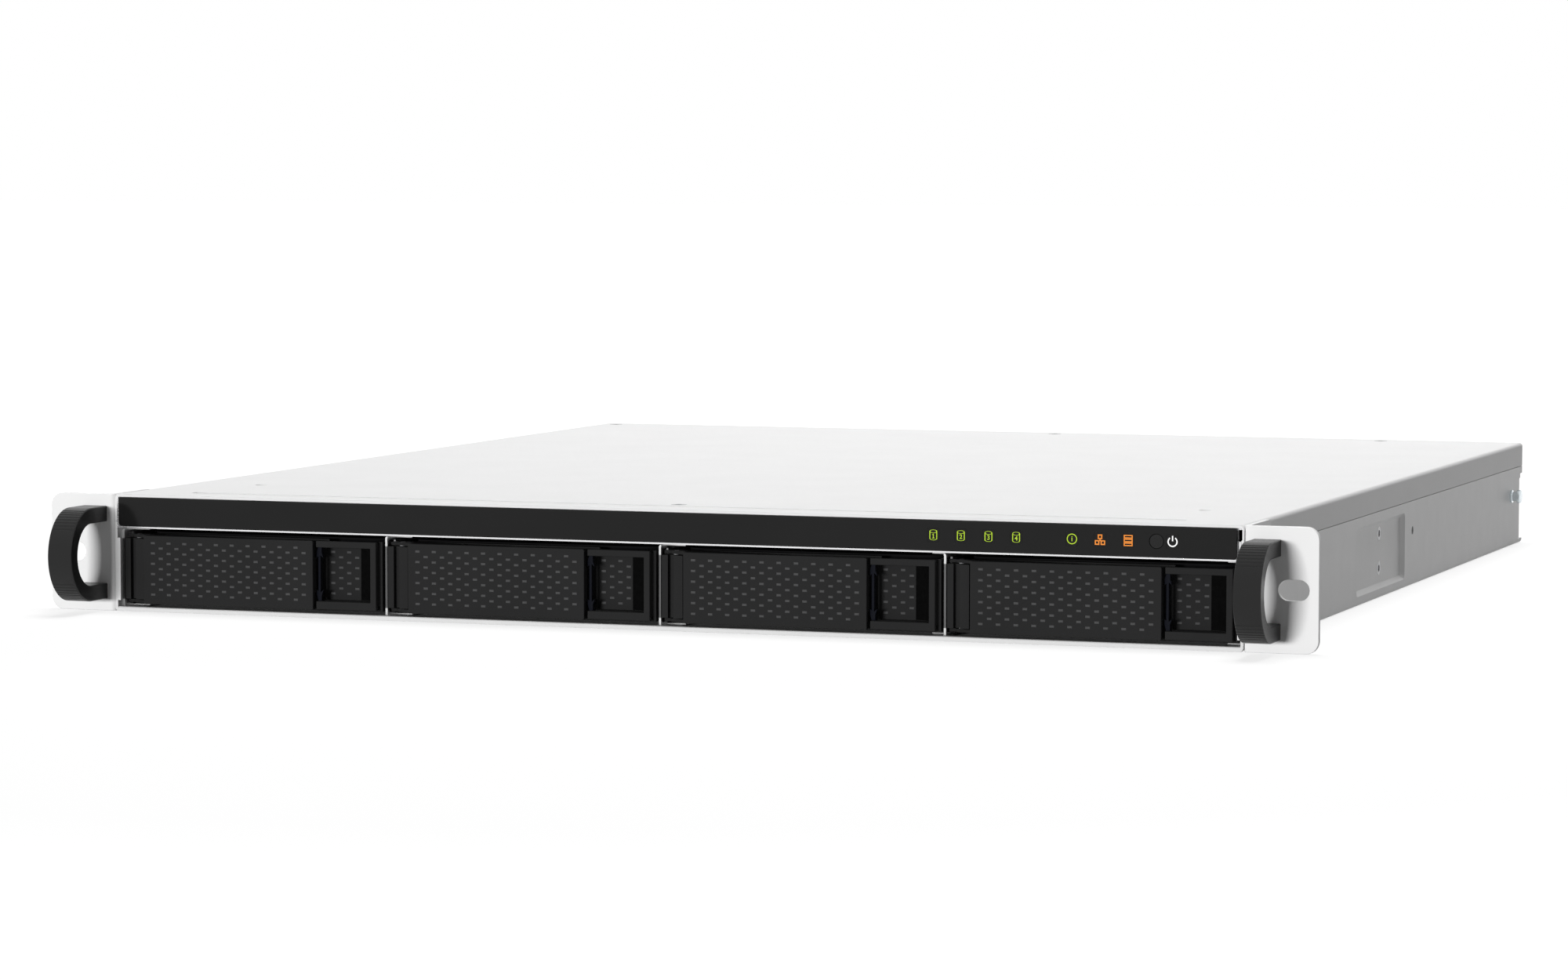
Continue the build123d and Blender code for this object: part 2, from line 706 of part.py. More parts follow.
def handle_screw_heights():
    reach = handle_height / 2 - HANDLE_END_WALL / 2
    return [slot_height - reach, slot_height + reach]


def rack_ear():
    """Right ear: a folded bracket with its rack slot and its flange along the chassis side."""
    edge = half_body + EAR_WIDTH
    fold = polygon(
        (half_body, 0),
        (edge, 0),
        (edge, EAR_THICK),
        (half_body + EAR_THICK, EAR_THICK),
        (half_body + EAR_THICK, EAR_FLANGE),
        (half_body, EAR_FLANGE),
    )
    fold = fillet([v for v in fold.vertices() if v.X < half_body + FIT_GAP and v.Y < FIT_GAP], EAR_THICK)
    ear = flat_plate(fold, 0, unit_height)
    outer = [e for e in ear.edges().filter_by(Axis.Y) if e.center().X > edge - FIT_GAP]
    ear = fillet(outer, EAR_CORNER)
    back = [e for e in ear.edges().filter_by(Axis.X) if e.center().Y > EAR_FLANGE - FIT_GAP]
    ear = fillet(back, EAR_CORNER / 2)
    face = ear.faces().sort_by(Axis.Y)[0]
    rim = [e for e in face.edges() if e.center().X > half_body + EAR_THICK + FIT_GAP]
    ear = fillet(rim, EAR_BEND / 2)
    slot = Pos(edge - SLOT_INSET, slot_height) * SlotOverall(SLOT_LENGTH, SLOT_WIDTH)
    ear -= front_plate(slot, -cut_margin, EAR_THICK + cut_margin)
    for z in handle_screw_heights():
        x = handle_centre()
        ear -= rod(SCREW_RADIUS + FIT_GAP, (x, -cut_margin, z), (x, EAR_THICK + cut_margin, z))
    for point in ear_screw_points(1):
        ear -= screw_hole(point, (-1, 0, 0), EAR_THICK + cut_margin)
    return ear


def handle_outline(inset_nose, inset_end):
    """Half an ellipse in front of a straight stretch, as a side view."""
    half_height = handle_height / 2 - inset_end
    nose = Pos(-HANDLE_STRAIGHT, slot_height) * Ellipse(HANDLE_NOSE - inset_nose, half_height)
    nose &= span(
        -HANDLE_STRAIGHT - HANDLE_NOSE - cut_margin, -HANDLE_STRAIGHT, -unit_height, 2 * unit_height
    )
    return nose + span(-HANDLE_STRAIGHT, 0, slot_height - half_height, slot_height + half_height)


def handle():
    """Right grip: a bow with finger grooves round its two outer corners."""
    left = half_body + HANDLE_INSET
    right = left + HANDLE_WIDTH
    bow = handle_outline(0, 0) - handle_outline(HANDLE_WALL, HANDLE_END_WALL)
    grip = side_plate(bow, left, right)
    rounded = [e for e in grip.edges() if e.center().Y < -FIT_GAP and not e.geom_type == GeomType.LINE]
    grip = fillet(rounded, EAR_BEND)
    for step in range(GRIP_GROOVES):
        angle = radians(GRIP_FIRST_ANGLE + step * GRIP_PITCH_ANGLE)
        y = -HANDLE_STRAIGHT - (HANDLE_NOSE + GRIP_GROOVE_RADIUS / 2) * cos(angle)
        rise = (handle_height / 2 + GRIP_GROOVE_RADIUS / 2) * sin(angle)
        for z in (slot_height - rise, slot_height + rise):
            grip -= rod(GRIP_GROOVE_RADIUS, (left - cut_margin, y, z), (right + cut_margin, y, z))
    for z in handle_screw_heights():
        x = handle_centre()
        grip -= rod(SCREW_RADIUS + RUNNING_GAP, (x, cut_margin, z), (x, -HANDLE_STRAIGHT / 2, z))
    return grip


def handle_screws():
    length = EAR_THICK + HANDLE_STRAIGHT / 2 - cut_margin
    right = [
        pan_head_screw((handle_centre(), EAR_THICK, z), (0, -1, 0), length)
        for z in handle_screw_heights()
    ]
    return right + [mirror(screw, Plane.YZ) for screw in right]


def ear_screws():
    length = EAR_THICK + SHEET - FIT_GAP
    return [
        countersunk_screw(point, (-side, 0, 0), length)
        for side in (-1, 1)
        for point in ear_screw_points(side)
    ]


# Drive bays
def bay_left(number):
    """X of the middle of the wall on the left of a bay, counted from 1."""
    return (number - 1 - BAY_COUNT / 2) * bay_pitch


def bay_wall(place, direction):
    """One bay wall, folded to a foot and a top flange, with its lever notches and slots."""
    half = BAY_SHEET / 2
    low = SHEET
    section = polygon(
        (-half, low),
        (BAY_FLANGE, low),
        (BAY_FLANGE, low + BAY_SHEET),
        (half, low + BAY_SHEET),
        (half, bay_top - BAY_SHEET),
        (BAY_FLANGE, bay_top - BAY_SHEET),
        (BAY_FLANGE, bay_top),
        (-half, bay_top),
    )
    folds = [v for v in section.vertices() if v.X < -half + FIT_GAP]
    wall = front_plate(fillet(folds, BAY_SHEET), BAY_SET_BACK, backplane_front)
    relief = block(
        half + FIT_GAP,
        BAY_FLANGE + FIT_GAP,
        0,
        PIN_BACK + FOOT_RADIUS,
        low + BAY_SHEET / 2,
        unit_height,
    )
    wall -= relief
    notch_front = PIN_BACK - FOOT_THICK / 2 - RAIL_THICK / 2
    notch_back = PIN_BACK + FOOT_RADIUS + FIT_GAP
    for centre in (lever_bottom + LEVER_ARM_THICK / 2, lever_top - LEVER_ARM_THICK / 2):
        tall = LEVER_ARM_THICK
        notch = span(notch_front, notch_back, centre - tall, centre + tall, tall / 2)
        wall -= side_plate(notch, -BAY_FLANGE, BAY_FLANGE)
    length = backplane_front - BAY_SET_BACK
    for step in range(3):
        middle = BAY_SET_BACK + length * (step + 1) / 4
        slot = Pos(middle, slot_height * 0.75) * SlotOverall(length / 5, RAIL_HEIGHT / 2)
        wall -= side_plate(slot, -BAY_FLANGE / 2, BAY_FLANGE / 2)
    if direction < 0:
        wall = mirror(wall, Plane.YZ)
    return Pos(place, 0, 0) * wall


def bay_dividers():
    middle = BAY_COUNT / 2
    return [
        bay_wall(bay_left(number + 1), 1 if number <= middle else -1)
        for number in range(BAY_COUNT + 1)
    ]


# Drive trays: carrier, lever, latch, pin and screws, and the drive itself
def front_levels():
    """Lower and upper edge of the post and strip, which lie between the lever's arms."""
    low = lever_bottom + LEVER_ARM_THICK + STRIP_END_GAP
    high = lever_top - LEVER_ARM_THICK - STRIP_END_GAP
    return low, high


def window_span():
    """Left and right outer edges of the latch window's frame."""
    start = lever_end + WINDOW_FRAME_START
    return start, tray_right - WINDOW_SIDE_INSET


def latch_slot(gap):
    """Plan view of the slot that the latch slides in, or of its tongue with no gap."""
    left = lever_end + LATCH_GAP
    right = left + LATCH_WIDTH + (LATCH_TRAVEL if gap > 0 else 0)
    return span(left - gap, right + gap, LATCH_SET_BACK - gap, LATCH_SET_BACK + LATCH_THICK + gap)


def window_frame():
    """C-shaped surround, open to the lever, with a scooped finger recess behind it."""
    left, right = window_span()
    low = lever_bottom + STRIP_END_GAP
    high = lever_top
    inner_low = low + WINDOW_BAR_LOW
    inner_high = high - WINDOW_BAR
    inner_right = right - WINDOW_SIDE
    face = span(left, right, low, high) - span(left - cut_margin, inner_right, inner_low, inner_high)
    frame = front_plate(face, 0, WINDOW_THICK)
    front = frame.faces().sort_by(Axis.Y)[0]
    frame = fillet([e for e in front.edges() if e.center().X > left + FIT_GAP], FRAME_PROUD)
    back = SCOOP_DEPTH + SCOOP_WALL
    outer = polygon((left, WINDOW_THICK), (right, WINDOW_THICK), (right, back), (left, back))
    hollow = Sketch() + polygon(
        (left - cut_margin, 0),
        (inner_right, 0),
        (inner_right, WINDOW_THICK / 2),
        (inner_right - SCOOP_CURVE, SCOOP_DEPTH),
        (left - cut_margin, SCOOP_DEPTH),
    )
    scoop_radius = SCOOP_CURVE
    hollow += Pos(
        inner_right - scoop_radius, WINDOW_THICK / 2
    ) * Ellipse(scoop_radius, SCOOP_DEPTH - WINDOW_THICK / 2)
    box_low = inner_low - SCOOP_WALL
    box_high = inner_high + SCOOP_WALL
    body = flat_plate(outer, box_low, box_high) - flat_plate(hollow, inner_low, inner_high)
    frame += body
    return frame - flat_plate(latch_slot(FIT_GAP), box_low - FIT_GAP, inner_low + FIT_GAP) - flat_plate(
        latch_slot(FIT_GAP), inner_high - FIT_GAP, box_high + FIT_GAP
    )


def tray_carrier():
    """Moulded tray: hinge post, latch window, bulkhead, side rails and open floor."""
    left = tray_left
    right = tray_right
    low, high = front_levels()
    bulkhead = PIN_BACK + FOOT_THICK + 2 * FIT_GAP
    bulkhead_back = bulkhead + RAIL_THICK
    floor_front = PIN_BACK + FOOT_RADIUS + 3 * SEAT_GAP
    tail = drive_back + TRAY_TAIL
    rail_top = tray_bottom + RAIL_HEIGHT
    strip_left = PIN_FROM_BAY + PIN_RADIUS
    strip_right = strip_left + STRIP_WIDTH
    post = polygon(
        (left, POST_SET_BACK),
        (left + POST_WIDTH, POST_SET_BACK),
        (left + POST_WIDTH, PIN_BACK - FOOT_THICK),
        (strip_left, PIN_BACK - FOOT_THICK),
        (strip_left, STRIP_SET_BACK),
        (strip_right, STRIP_SET_BACK),
        (strip_right, bulkhead_back),
        (left, bulkhead_back),
    )
    tray = flat_plate(post, low, high)
    sight = span(strip_right, window_span()[0] + SHEET, lever_bottom, lever_top)
    bars = 4
    wide = (window_span()[0] - strip_right) / bars
    for step in range(bars - 1):
        start = strip_right + wide * (step + 0.5)
        sight -= span(
            start,
            start + wide * 0.85,
            lever_bottom + LEVER_ARM_THICK * 3,
            lever_top - LEVER_ARM_THICK * 3,
            RAIL_THICK,
        )
    tray += front_plate(sight, bulkhead, bulkhead_back)
    tray += window_frame()
    window_right = window_span()[1]
    cheek = span(POST_SET_BACK, floor_front, lever_bottom, lever_top)
    tray += side_plate(cheek, right - RAIL_THICK, right)
    bridge = span(window_right - RAIL_THICK, right, lever_bottom + WINDOW_BAR_LOW, lever_top - WINDOW_BAR)
    tray += front_plate(bridge, bulkhead - RAIL_THICK, bulkhead_back)
    floor = span(left, right, floor_front, tail)
    open_width = (right - left) / 2 - 4 * RAIL_THICK
    open_length = (tail - floor_front) / 2 - 4 * RAIL_THICK
    for i in (-1, 1):
        for j in (-1, 1):
            place = Pos(
                (left + right) / 2 + i * (open_width / 2 + RAIL_THICK),
                (floor_front + tail) / 2 + j * (open_length / 2 + RAIL_THICK),
            )
            floor -= place * RectangleRounded(open_width, open_length, 3 * RAIL_THICK)
    tray += flat_plate(floor, tray_bottom, drive_bottom)
    lead_in = polygon(
        (floor_front, tray_bottom),
        (tail, tray_bottom),
        (tail, rail_top - RAIL_HEIGHT / 3),
        (tail - RAIL_HEIGHT / 3, rail_top),
        (floor_front + RAIL_HEIGHT / 3, rail_top),
        (floor_front, high),
    )
    neck = span(bulkhead, floor_front + RAIL_THICK, low, high)
    for start in (left, right - RAIL_THICK):
        tray += side_plate(lead_in, start, start + RAIL_THICK)
        tray += side_plate(neck, start, start + RAIL_THICK)
    sill = span(strip_right + RAIL_THICK, right, bulkhead, floor_front + RAIL_THICK)
    tray += flat_plate(sill, tray_bottom, drive_bottom)
    riser = span(strip_right + RAIL_THICK, window_span()[0], tray_bottom, lever_bottom + LEVER_ARM_THICK)
    tray += front_plate(riser, bulkhead, bulkhead_back)
    tray -= rod(PIN_RADIUS, (PIN_FROM_BAY, PIN_BACK, 0), (PIN_FROM_BAY, PIN_BACK, unit_height))
    for x, y, z, inward in drive_screw_points():
        tray -= screw_hole((x, y, z), (inward, 0, 0), RAIL_THICK + cut_margin)
    return tray


def drive_screw_points():
    """Outer face of the rail at each drive screw, with the way inwards."""
    left = tray_left
    right = tray_right
    z = drive_bottom + DRIVE_SCREW_HEIGHT
    back = drive_back - DRIVE_SCREW_FROM_BACK
    front = DRIVE_SET_BACK + DRIVE_SCREW_FROM_FRONT
    points = []
    for y in (back, front):
        points.append((left, y, z, 1))
        points.append((right, y, z, -1))
    return points


def tray_lever():
    """Perforated flap with its two arms round the pin and a cam foot on each arm."""
    right = lever_end
    flap_back = LEVER_THICK - LEVER_PROUD
    flap = front_plate(
        span(LEVER_START, right, lever_bottom, lever_top, FASCIA_CORNER / 2), -LEVER_PROUD, flap_back
    )
    front = flap.faces().sort_by(Axis.Y)[0]
    flap = fillet(front.edges(), LEVER_PROUD)
    reach = LEVER_START + LEVER_ARM_REACH
    arm = polygon(
        (PIN_FROM_BAY, PIN_BACK - FOOT_THICK),
        (LEVER_START, STRIP_SET_BACK - FIT_GAP),
        (LEVER_START, flap_back - FRAME_PROUD),
        (reach, flap_back - FRAME_PROUD),
        (reach, flap_back + RAIL_THICK),
        (LEVER_START + 2 * RAIL_THICK, PIN_BACK + FOOT_THICK - FIT_GAP),
        (PIN_FROM_BAY, PIN_BACK + FOOT_THICK),
    )
    arm += Pos(PIN_FROM_BAY, PIN_BACK) * Circle(FOOT_THICK)
    foot = span(
        PIN_FROM_BAY - FOOT_RADIUS, PIN_FROM_BAY, PIN_BACK - FOOT_THICK / 2, PIN_BACK + FOOT_THICK / 2
    )
    foot = fillet([v for v in foot.vertices() if v.X < PIN_FROM_BAY - SHEET], FOOT_THICK / 3)
    arm += foot
    arm -= Pos(PIN_FROM_BAY, PIN_BACK) * Circle(PIN_RADIUS + RUNNING_GAP)
    lever = flap + flat_plate(arm, lever_bottom, lever_bottom + LEVER_ARM_THICK)
    lever += flat_plate(arm, lever_top - LEVER_ARM_THICK, lever_top)
    quarter = (lever_top - lever_bottom) / 4
    lip = span(right - RAIL_THICK, right, lever_bottom + quarter, lever_top - quarter)
    return lever + front_plate(lip, flap_back - FRAME_PROUD, flap_back + RAIL_THICK)


def tray_latch():
    """Sliding catch: a thin rod between two fish-tail hooks, with a tongue at each end."""
    left = lever_end + LATCH_GAP
    right = left + LATCH_WIDTH
    inner_low = lever_bottom + STRIP_END_GAP + WINDOW_BAR_LOW
    inner_high = lever_top - WINDOW_BAR
    waist = LATCH_WIDTH / 4
    front = LATCH_SET_BACK
    back = LATCH_SET_BACK + LATCH_THICK
    low_end = inner_low + FIT_GAP
    high_end = inner_high - FIT_GAP
    middle = (left + right) / 2
    lower = polygon(
        (left + waist, low_end),
        (right - waist, low_end),
        (right - waist, low_end + LATCH_HOOK / 2),
        (right, low_end + LATCH_HOOK),
        (middle, low_end + LATCH_HOOK * 0.7),
        (left, low_end + LATCH_HOOK),
        (left, low_end + LATCH_HOOK / 2),
    )
    upper = mirror(lower, Plane.XZ.offset(-(low_end + high_end) / 2))
    latch = front_plate(lower + upper, front, back)
    bar_left = left + waist
    bar = span(bar_left, bar_left + LATCH_ROD, low_end, high_end)
    latch += front_plate(bar, front, back)
    tongue = span(bar_left, right - waist, front, back)
    latch += flat_plate(tongue, low_end - LATCH_TONGUE, low_end)
    return latch + flat_plate(tongue, high_end, high_end + LATCH_TONGUE)


def tray_fasteners():
    """Hinge pin and the four flat-headed screws that hold the drive."""
    pieces = [rod(PIN_RADIUS, (PIN_FROM_BAY, PIN_BACK, lever_bottom), (PIN_FROM_BAY, PIN_BACK, lever_top))]
    length = RAIL_THICK + FIT_GAP
    for x, y, z, inward in drive_screw_points():
        pieces.append(countersunk_screw((x, y, z), (inward, 0, 0), length))
    return pieces


def hard_drive():
    """3.5-inch drive: cast base, raised lid with its motor and arm bosses, and rear plug."""
    left = tray_left + RAIL_THICK + FIT_GAP
    right = left + DRIVE_WIDTH
    lid = 2 * SHEET
    top = drive_bottom + DRIVE_HEIGHT
    base = flat_plate(span(left, right, DRIVE_SET_BACK, drive_back, 2 * SHEET), drive_bottom, top - lid)
    rim = span(left + lid, right - lid, DRIVE_SET_BACK + lid, drive_back - lid, 4 * lid)
    body = base + flat_plate(rim, top - lid, top - SHEET / 2)
    middle = (left + right) / 2
    spindle = Pos(middle, DRIVE_SET_BACK + DRIVE_WIDTH / 2) * Circle(DRIVE_WIDTH / 7)
    body += flat_plate(spindle, top - SHEET / 2, top)
    plug = block(
        middle - SOCKET_WIDTH / 2,
        middle + SOCKET_WIDTH / 2,
        drive_back - SOCKET_REACH,
        drive_back + cut_margin,
        drive_bottom - cut_margin, drive_bottom + SOCKET_HEIGHT,
    )
    tab = block(
        middle - SOCKET_WIDTH / 2 + lid,
        middle + SOCKET_WIDTH / 2 - lid,
        drive_back - SOCKET_REACH - SHEET,
        drive_back - SHEET,
        drive_bottom + SOCKET_HEIGHT / 2, drive_bottom + SOCKET_HEIGHT / 2 + lid,
    )
    return body - plug + tab


# Backplane
def backplane_board():
    half = half_inside - BAY_SHEET
    outline = span(-half, half, SHEET, bay_top)
    for number in range(1, BAY_COUNT + 1):
        centre = bay_left(number) + bay_pitch / 2
        low = drive_bottom + SOCKET_HEIGHT + 3 * SHEET
        outline -= span(centre - SOCKET_WIDTH, centre + SOCKET_WIDTH, low, bay_top - 3 * SHEET, 2 * SHEET)
    return front_plate(outline, backplane_front, backplane_front + BOARD_THICK)


def backplane_sockets():
    sockets = []
    for number in range(1, BAY_COUNT + 1):
        centre = bay_left(number) + bay_pitch / 2
        half = SOCKET_WIDTH / 2
        face = backplane_front - SOCKET_REACH
        socket = block(
            centre - half,
            centre + half,
            face,
            backplane_front,
            drive_bottom,
            drive_bottom + SOCKET_HEIGHT,
        )
        slit = block(
            centre - half + SHEET, centre + half - SHEET, face - cut_margin, backplane_front - SHEET,
            drive_bottom + SOCKET_HEIGHT / 3, drive_bottom + SOCKET_HEIGHT / 2,
        )
        sockets.append(socket - slit)
    return sockets


# Fan wall and fans
def fan_screw_points(centre_x):
    half = fan_size / 2 - FAN_HOLE_INSET
    return [
        (centre_x + i * half, fan_wall_front, fan_centre + j * half)
        for i in (-1, 1)
        for j in (-1, 1)
    ]


def fan_wall():
    """Sheet wall across the chassis, folded back on all four edges, with the fan openings."""
    half = recess_face - SHEET
    top = cover_under - SHEET
    back = fan_wall_front + FAN_WALL_FLANGE
    outer = block(-half, half, fan_wall_front, back, SHEET, top)
    inner = block(
        -half + SHEET, half - SHEET, fan_wall_front + SHEET, back + cut_margin, 2 * SHEET, top - SHEET
    )
    wall = outer - inner
    for centre_x in FAN_OFFSETS:
        bore = Pos(centre_x, fan_centre) * Circle(fan_size / 2 - DUCT_WALL)
        wall -= front_plate(bore, fan_wall_front - cut_margin, back)
        clear = fan_size / 2 + SEAT_GAP
        wall -= block(
            centre_x - clear,
            centre_x + clear,
            fan_wall_front + SHEET,
            back + cut_margin,
            0,
            unit_height,
        )
        for x, y, z in fan_screw_points(centre_x):
            wall -= rod(SCREW_RADIUS + RUNNING_GAP, (x, y - cut_margin, z), (x, y + SHEET + cut_margin, z))
    for side in (-1, 1):
        for x, y, z in side_screw_points(side, recess_face):
            wall -= rod(SCREW_RADIUS + RUNNING_GAP, (x, y, z), (side * (half - SHEET - cut_margin), y, z))
    return wall


def side_screws():
    length = 2 * SHEET + FIT_GAP
    return [
        countersunk_screw(point, (-side, 0, 0), length)
        for side in (-1, 1)
        for point in side_screw_points(side, recess_face)
    ]


def fan_screws():
    length = SHEET + 2 * PAN_HEAD_HEIGHT
    return [
        pan_head_screw(point, (0, 1, 0), length)
        for centre_x in FAN_OFFSETS
        for point in fan_screw_points(centre_x)
    ]


def fan_frame(size, depth, hole_inset):
    """Fan housing with its front at Y = 0: square ends, round duct, struts and bearing post."""
    duct = size / 2 - DUCT_WALL
    frame = front_plate(RectangleRounded(size, size, 2 * DUCT_WALL), 0, depth)
    waist = RectangleRounded(
        size + cut_margin, size + cut_margin, DUCT_WALL
    ) - Circle(duct + DUCT_WALL * 0.8)
    rim = depth / 5
    frame -= front_plate(waist, rim, depth - rim)
    frame -= front_plate(Circle(duct), -cut_margin, depth + cut_margin)
    struts = Sketch() + Circle(HUB_RADIUS)
    for step in range(STRUT_COUNT):
        turn = Rot(0, 0, 45 + step * 360 / STRUT_COUNT)
        struts += turn * Pos((HUB_RADIUS + duct) / 2, 0) * Rectangle(
            duct - HUB_RADIUS + DUCT_WALL, STRUT_WIDTH
        )
    frame += front_plate(struts, depth - STRUT_DEEP, depth)
    frame += rod(STRUT_WIDTH, (0, depth - STRUT_DEEP, 0), (0, depth / 2, 0))
    if hole_inset:
        half = size / 2 - hole_inset
        for i in (-1, 1):
            for j in (-1, 1):
                frame -= rod(
                    SCREW_RADIUS + RUNNING_GAP,
                    (i * half, -cut_margin, j * half),
                    (i * half, depth + cut_margin, j * half),
                )
    return frame


def fan_rotor(size, depth):
    """Hub cup on the bearing post, with raked blades cut to the duct."""
    tip = size / 2 - DUCT_WALL - TIP_GAP
    front = DUCT_WALL
    back = depth - STRUT_DEEP - 3 * FIT_GAP
    hub = front_plate(Circle(HUB_RADIUS), front, back)
    hub = fillet(hub.edges().sort_by(Axis.Y)[0], DUCT_WALL)
    ring = front_plate(Circle(tip) - Circle(HUB_RADIUS - DUCT_WALL), front + DUCT_WALL, back - DUCT_WALL)
    chord = (back - front) / cos(radians(BLADE_ANGLE))
    reach = tip + cut_margin
    rotor = hub
    for step in range(FAN_BLADES):
        slab = block(0, reach, -chord, chord, -BLADE_THICK / 2, BLADE_THICK / 2)
        tilted = Pos(0, (front + back) / 2, 0) * Rot(BLADE_ANGLE, 0, 0) * slab
        rotor += Rot(0, step * 360 / FAN_BLADES, 0) * (tilted & ring)
    bore = rod(STRUT_WIDTH + RUNNING_GAP, (0, back + cut_margin, 0), (0, depth / 2 - FIT_GAP, 0))
    return rotor - bore


# Main board and what stands on it
def board_screw_points():
    left = board_left + STANDOFF_INSET
    right = board_right - STANDOFF_INSET
    front = board_front + STANDOFF_INSET
    back = board_back - FIBRE_DEPTH - STANDOFF_INSET
    return [(x, y) for x in (left, (left + right) / 2, right) for y in (front, back)]


def main_board():
    right = board_right
    board = span(
        board_left, right, board_front, board_back, STANDOFF_INSET / 3
    )
    for x, y in board_screw_points():
        board -= Pos(x, y) * Circle(SCREW_RADIUS + FIT_GAP)
    return flat_plate(board, main_board_low, main_board_top)


def board_standoffs():
    hexagon = RegularPolygon(STANDOFF_RADIUS, 6) - Circle(SCREW_RADIUS + RUNNING_GAP)
    return [flat_plate(Pos(x, y) * hexagon, SHEET, main_board_low) for x, y in board_screw_points()]


def board_screws():
    length = BOARD_THICK + STANDOFF_HEIGHT / 2
    return [pan_head_screw((x, y, main_board_top), (0, 0, -1), length) for x, y in board_screw_points()]


def processor_heatsink():
    half = HEATSINK_SIDE / 2
    chip = SHEET + FIT_GAP
    comb = span(-half, half, main_board_top + chip, main_board_top + chip + HEATSINK_HEIGHT)
    count = int(HEATSINK_SIDE // FIN_PITCH)
    first = -half + FIN_THICK
    gap = (HEATSINK_SIDE - 2 * FIN_THICK - (count - 1) * FIN_THICK) / count
    for step in range(count):
        start = first + step * (gap + FIN_THICK)
        comb -= span(start, start + gap, main_board_top + chip + HEATSINK_BASE, unit_height)
    front = board_front + HEATSINK_SET_BACK
    sink = front_plate(comb, front, front + HEATSINK_SIDE)
    middle = front + half
    sink += block(
        -half / 3, half / 3, middle - half / 3, middle + half / 3, main_board_top, main_board_top + chip
    )
    return Pos(board_left + HEATSINK_FROM_LEFT, 0, 0) * sink


def memory_module():
    """Small memory board lying in its low socket."""
    left = board_right - MEMORY_FROM_RIGHT - MEMORY_WIDTH / 2
    right = left + MEMORY_WIDTH
    front = board_front + MEMORY_SET_BACK
    back = front + MEMORY_DEPTH
    socket = block(
        left - SHEET,
        right + SHEET,
        front - 4 * SHEET,
        front + 2 * SHEET,
        main_board_top,
        main_board_top + 5 * SHEET,
    )
    for start in (left - 3 * SHEET, right):
        socket += block(
            start,
            start + 3 * SHEET,
            front - 4 * SHEET,
            back,
            main_board_top,
            main_board_top + 4 * SHEET,
        )
    stick = block(left, right, front, back, main_board_top + 2 * SHEET, main_board_top + 3 * SHEET)
    for step in range(4):
        start = left + SHEET + step * (MEMORY_WIDTH - SHEET) / 4
        wide = (MEMORY_WIDTH - SHEET) / 4 - 2 * SHEET
        stick += block(
            start,
            start + wide,
            front + 5 * SHEET,
            back - 5 * SHEET,
            main_board_top + 3 * SHEET,
            main_board_top + 4 * SHEET,
        )
    return socket + stick


def network_sockets():
    """Two network jacks side by side, each with its latch step in the mouth."""
    sockets = []
    for step in (0, 1):
        left = rj45_x + step * RJ45_WIDTH
        centre = left + RJ45_WIDTH / 2
        front = rear_outside - RJ45_DEPTH
        shell = block(
            left, left + RJ45_WIDTH, front, rear_outside, main_board_top, main_board_top + RJ45_HEIGHT
        )
        low = main_board_top + (RJ45_HEIGHT - RJ45_MOUTH_HEIGHT) / 2 + SHEET
        half = RJ45_MOUTH_WIDTH / 2
        mouth = span(centre - half, centre + half, low, low + RJ45_MOUTH_HEIGHT)
        mouth += span(centre - half / 2, centre + half / 2, low - 2 * SHEET, low + SHEET)
        sockets.append(shell - front_plate(mouth, rear_outside - RJ45_MOUTH_DEEP, rear_outside + cut_margin))
    return sockets


def fibre_cages():
    """Two thin-walled cages for plug-in transceivers, open at the back."""
    cages = []
    for step in (0, 1):
        left = fibre_x + step * FIBRE_PITCH
        right = left + FIBRE_WIDTH
        front = rear_outside - FIBRE_DEPTH
        top = main_board_top + FIBRE_HEIGHT
        cage = block(left, right, front, rear_outside, main_board_top, top)
        inside = block(
            left + FIBRE_WALL, right - FIBRE_WALL, front + FIBRE_WALL, rear_outside + cut_margin,
            main_board_top + FIBRE_WALL, top - FIBRE_WALL,
        )
        cages.append(cage - inside)
    return cages


def usb_sockets():
    """Two stacks of two sockets, each mouth with its contact tongue."""
    stacks = []
    for step in (0, 1):
        left = usb_x + step * USB_PITCH
        centre = left + USB_WIDTH / 2
        stack = block(
            left,
            left + USB_WIDTH,
            rear_outside - USB_DEPTH,
            rear_outside,
            main_board_top,
            main_board_top + USB_HEIGHT,
        )
        half = USB_MOUTH_WIDTH / 2
        lift = (USB_HEIGHT - 2 * USB_MOUTH_HEIGHT) / 3
        for row in (0, 1):
            low = main_board_top + lift + row * (USB_MOUTH_HEIGHT + lift)
            mouth = span(centre - half, centre + half, low, low + USB_MOUTH_HEIGHT)
            tongue_low = low + USB_MOUTH_HEIGHT * 0.55
            mouth -= span(
                centre - half + SHEET, centre + half - SHEET, tongue_low, low + USB_MOUTH_HEIGHT * 0.9
            )
            stack -= front_plate(mouth, rear_outside - USB_MOUTH_DEEP, rear_outside + cut_margin)
        stacks.append(stack)
    return stacks


# Rear panel and the blank over the expansion slot
def cutout(left, right, low, high):
    return span(left - CUTOUT_GAP, right + CUTOUT_GAP, low - CUTOUT_GAP, high + CUTOUT_GAP)


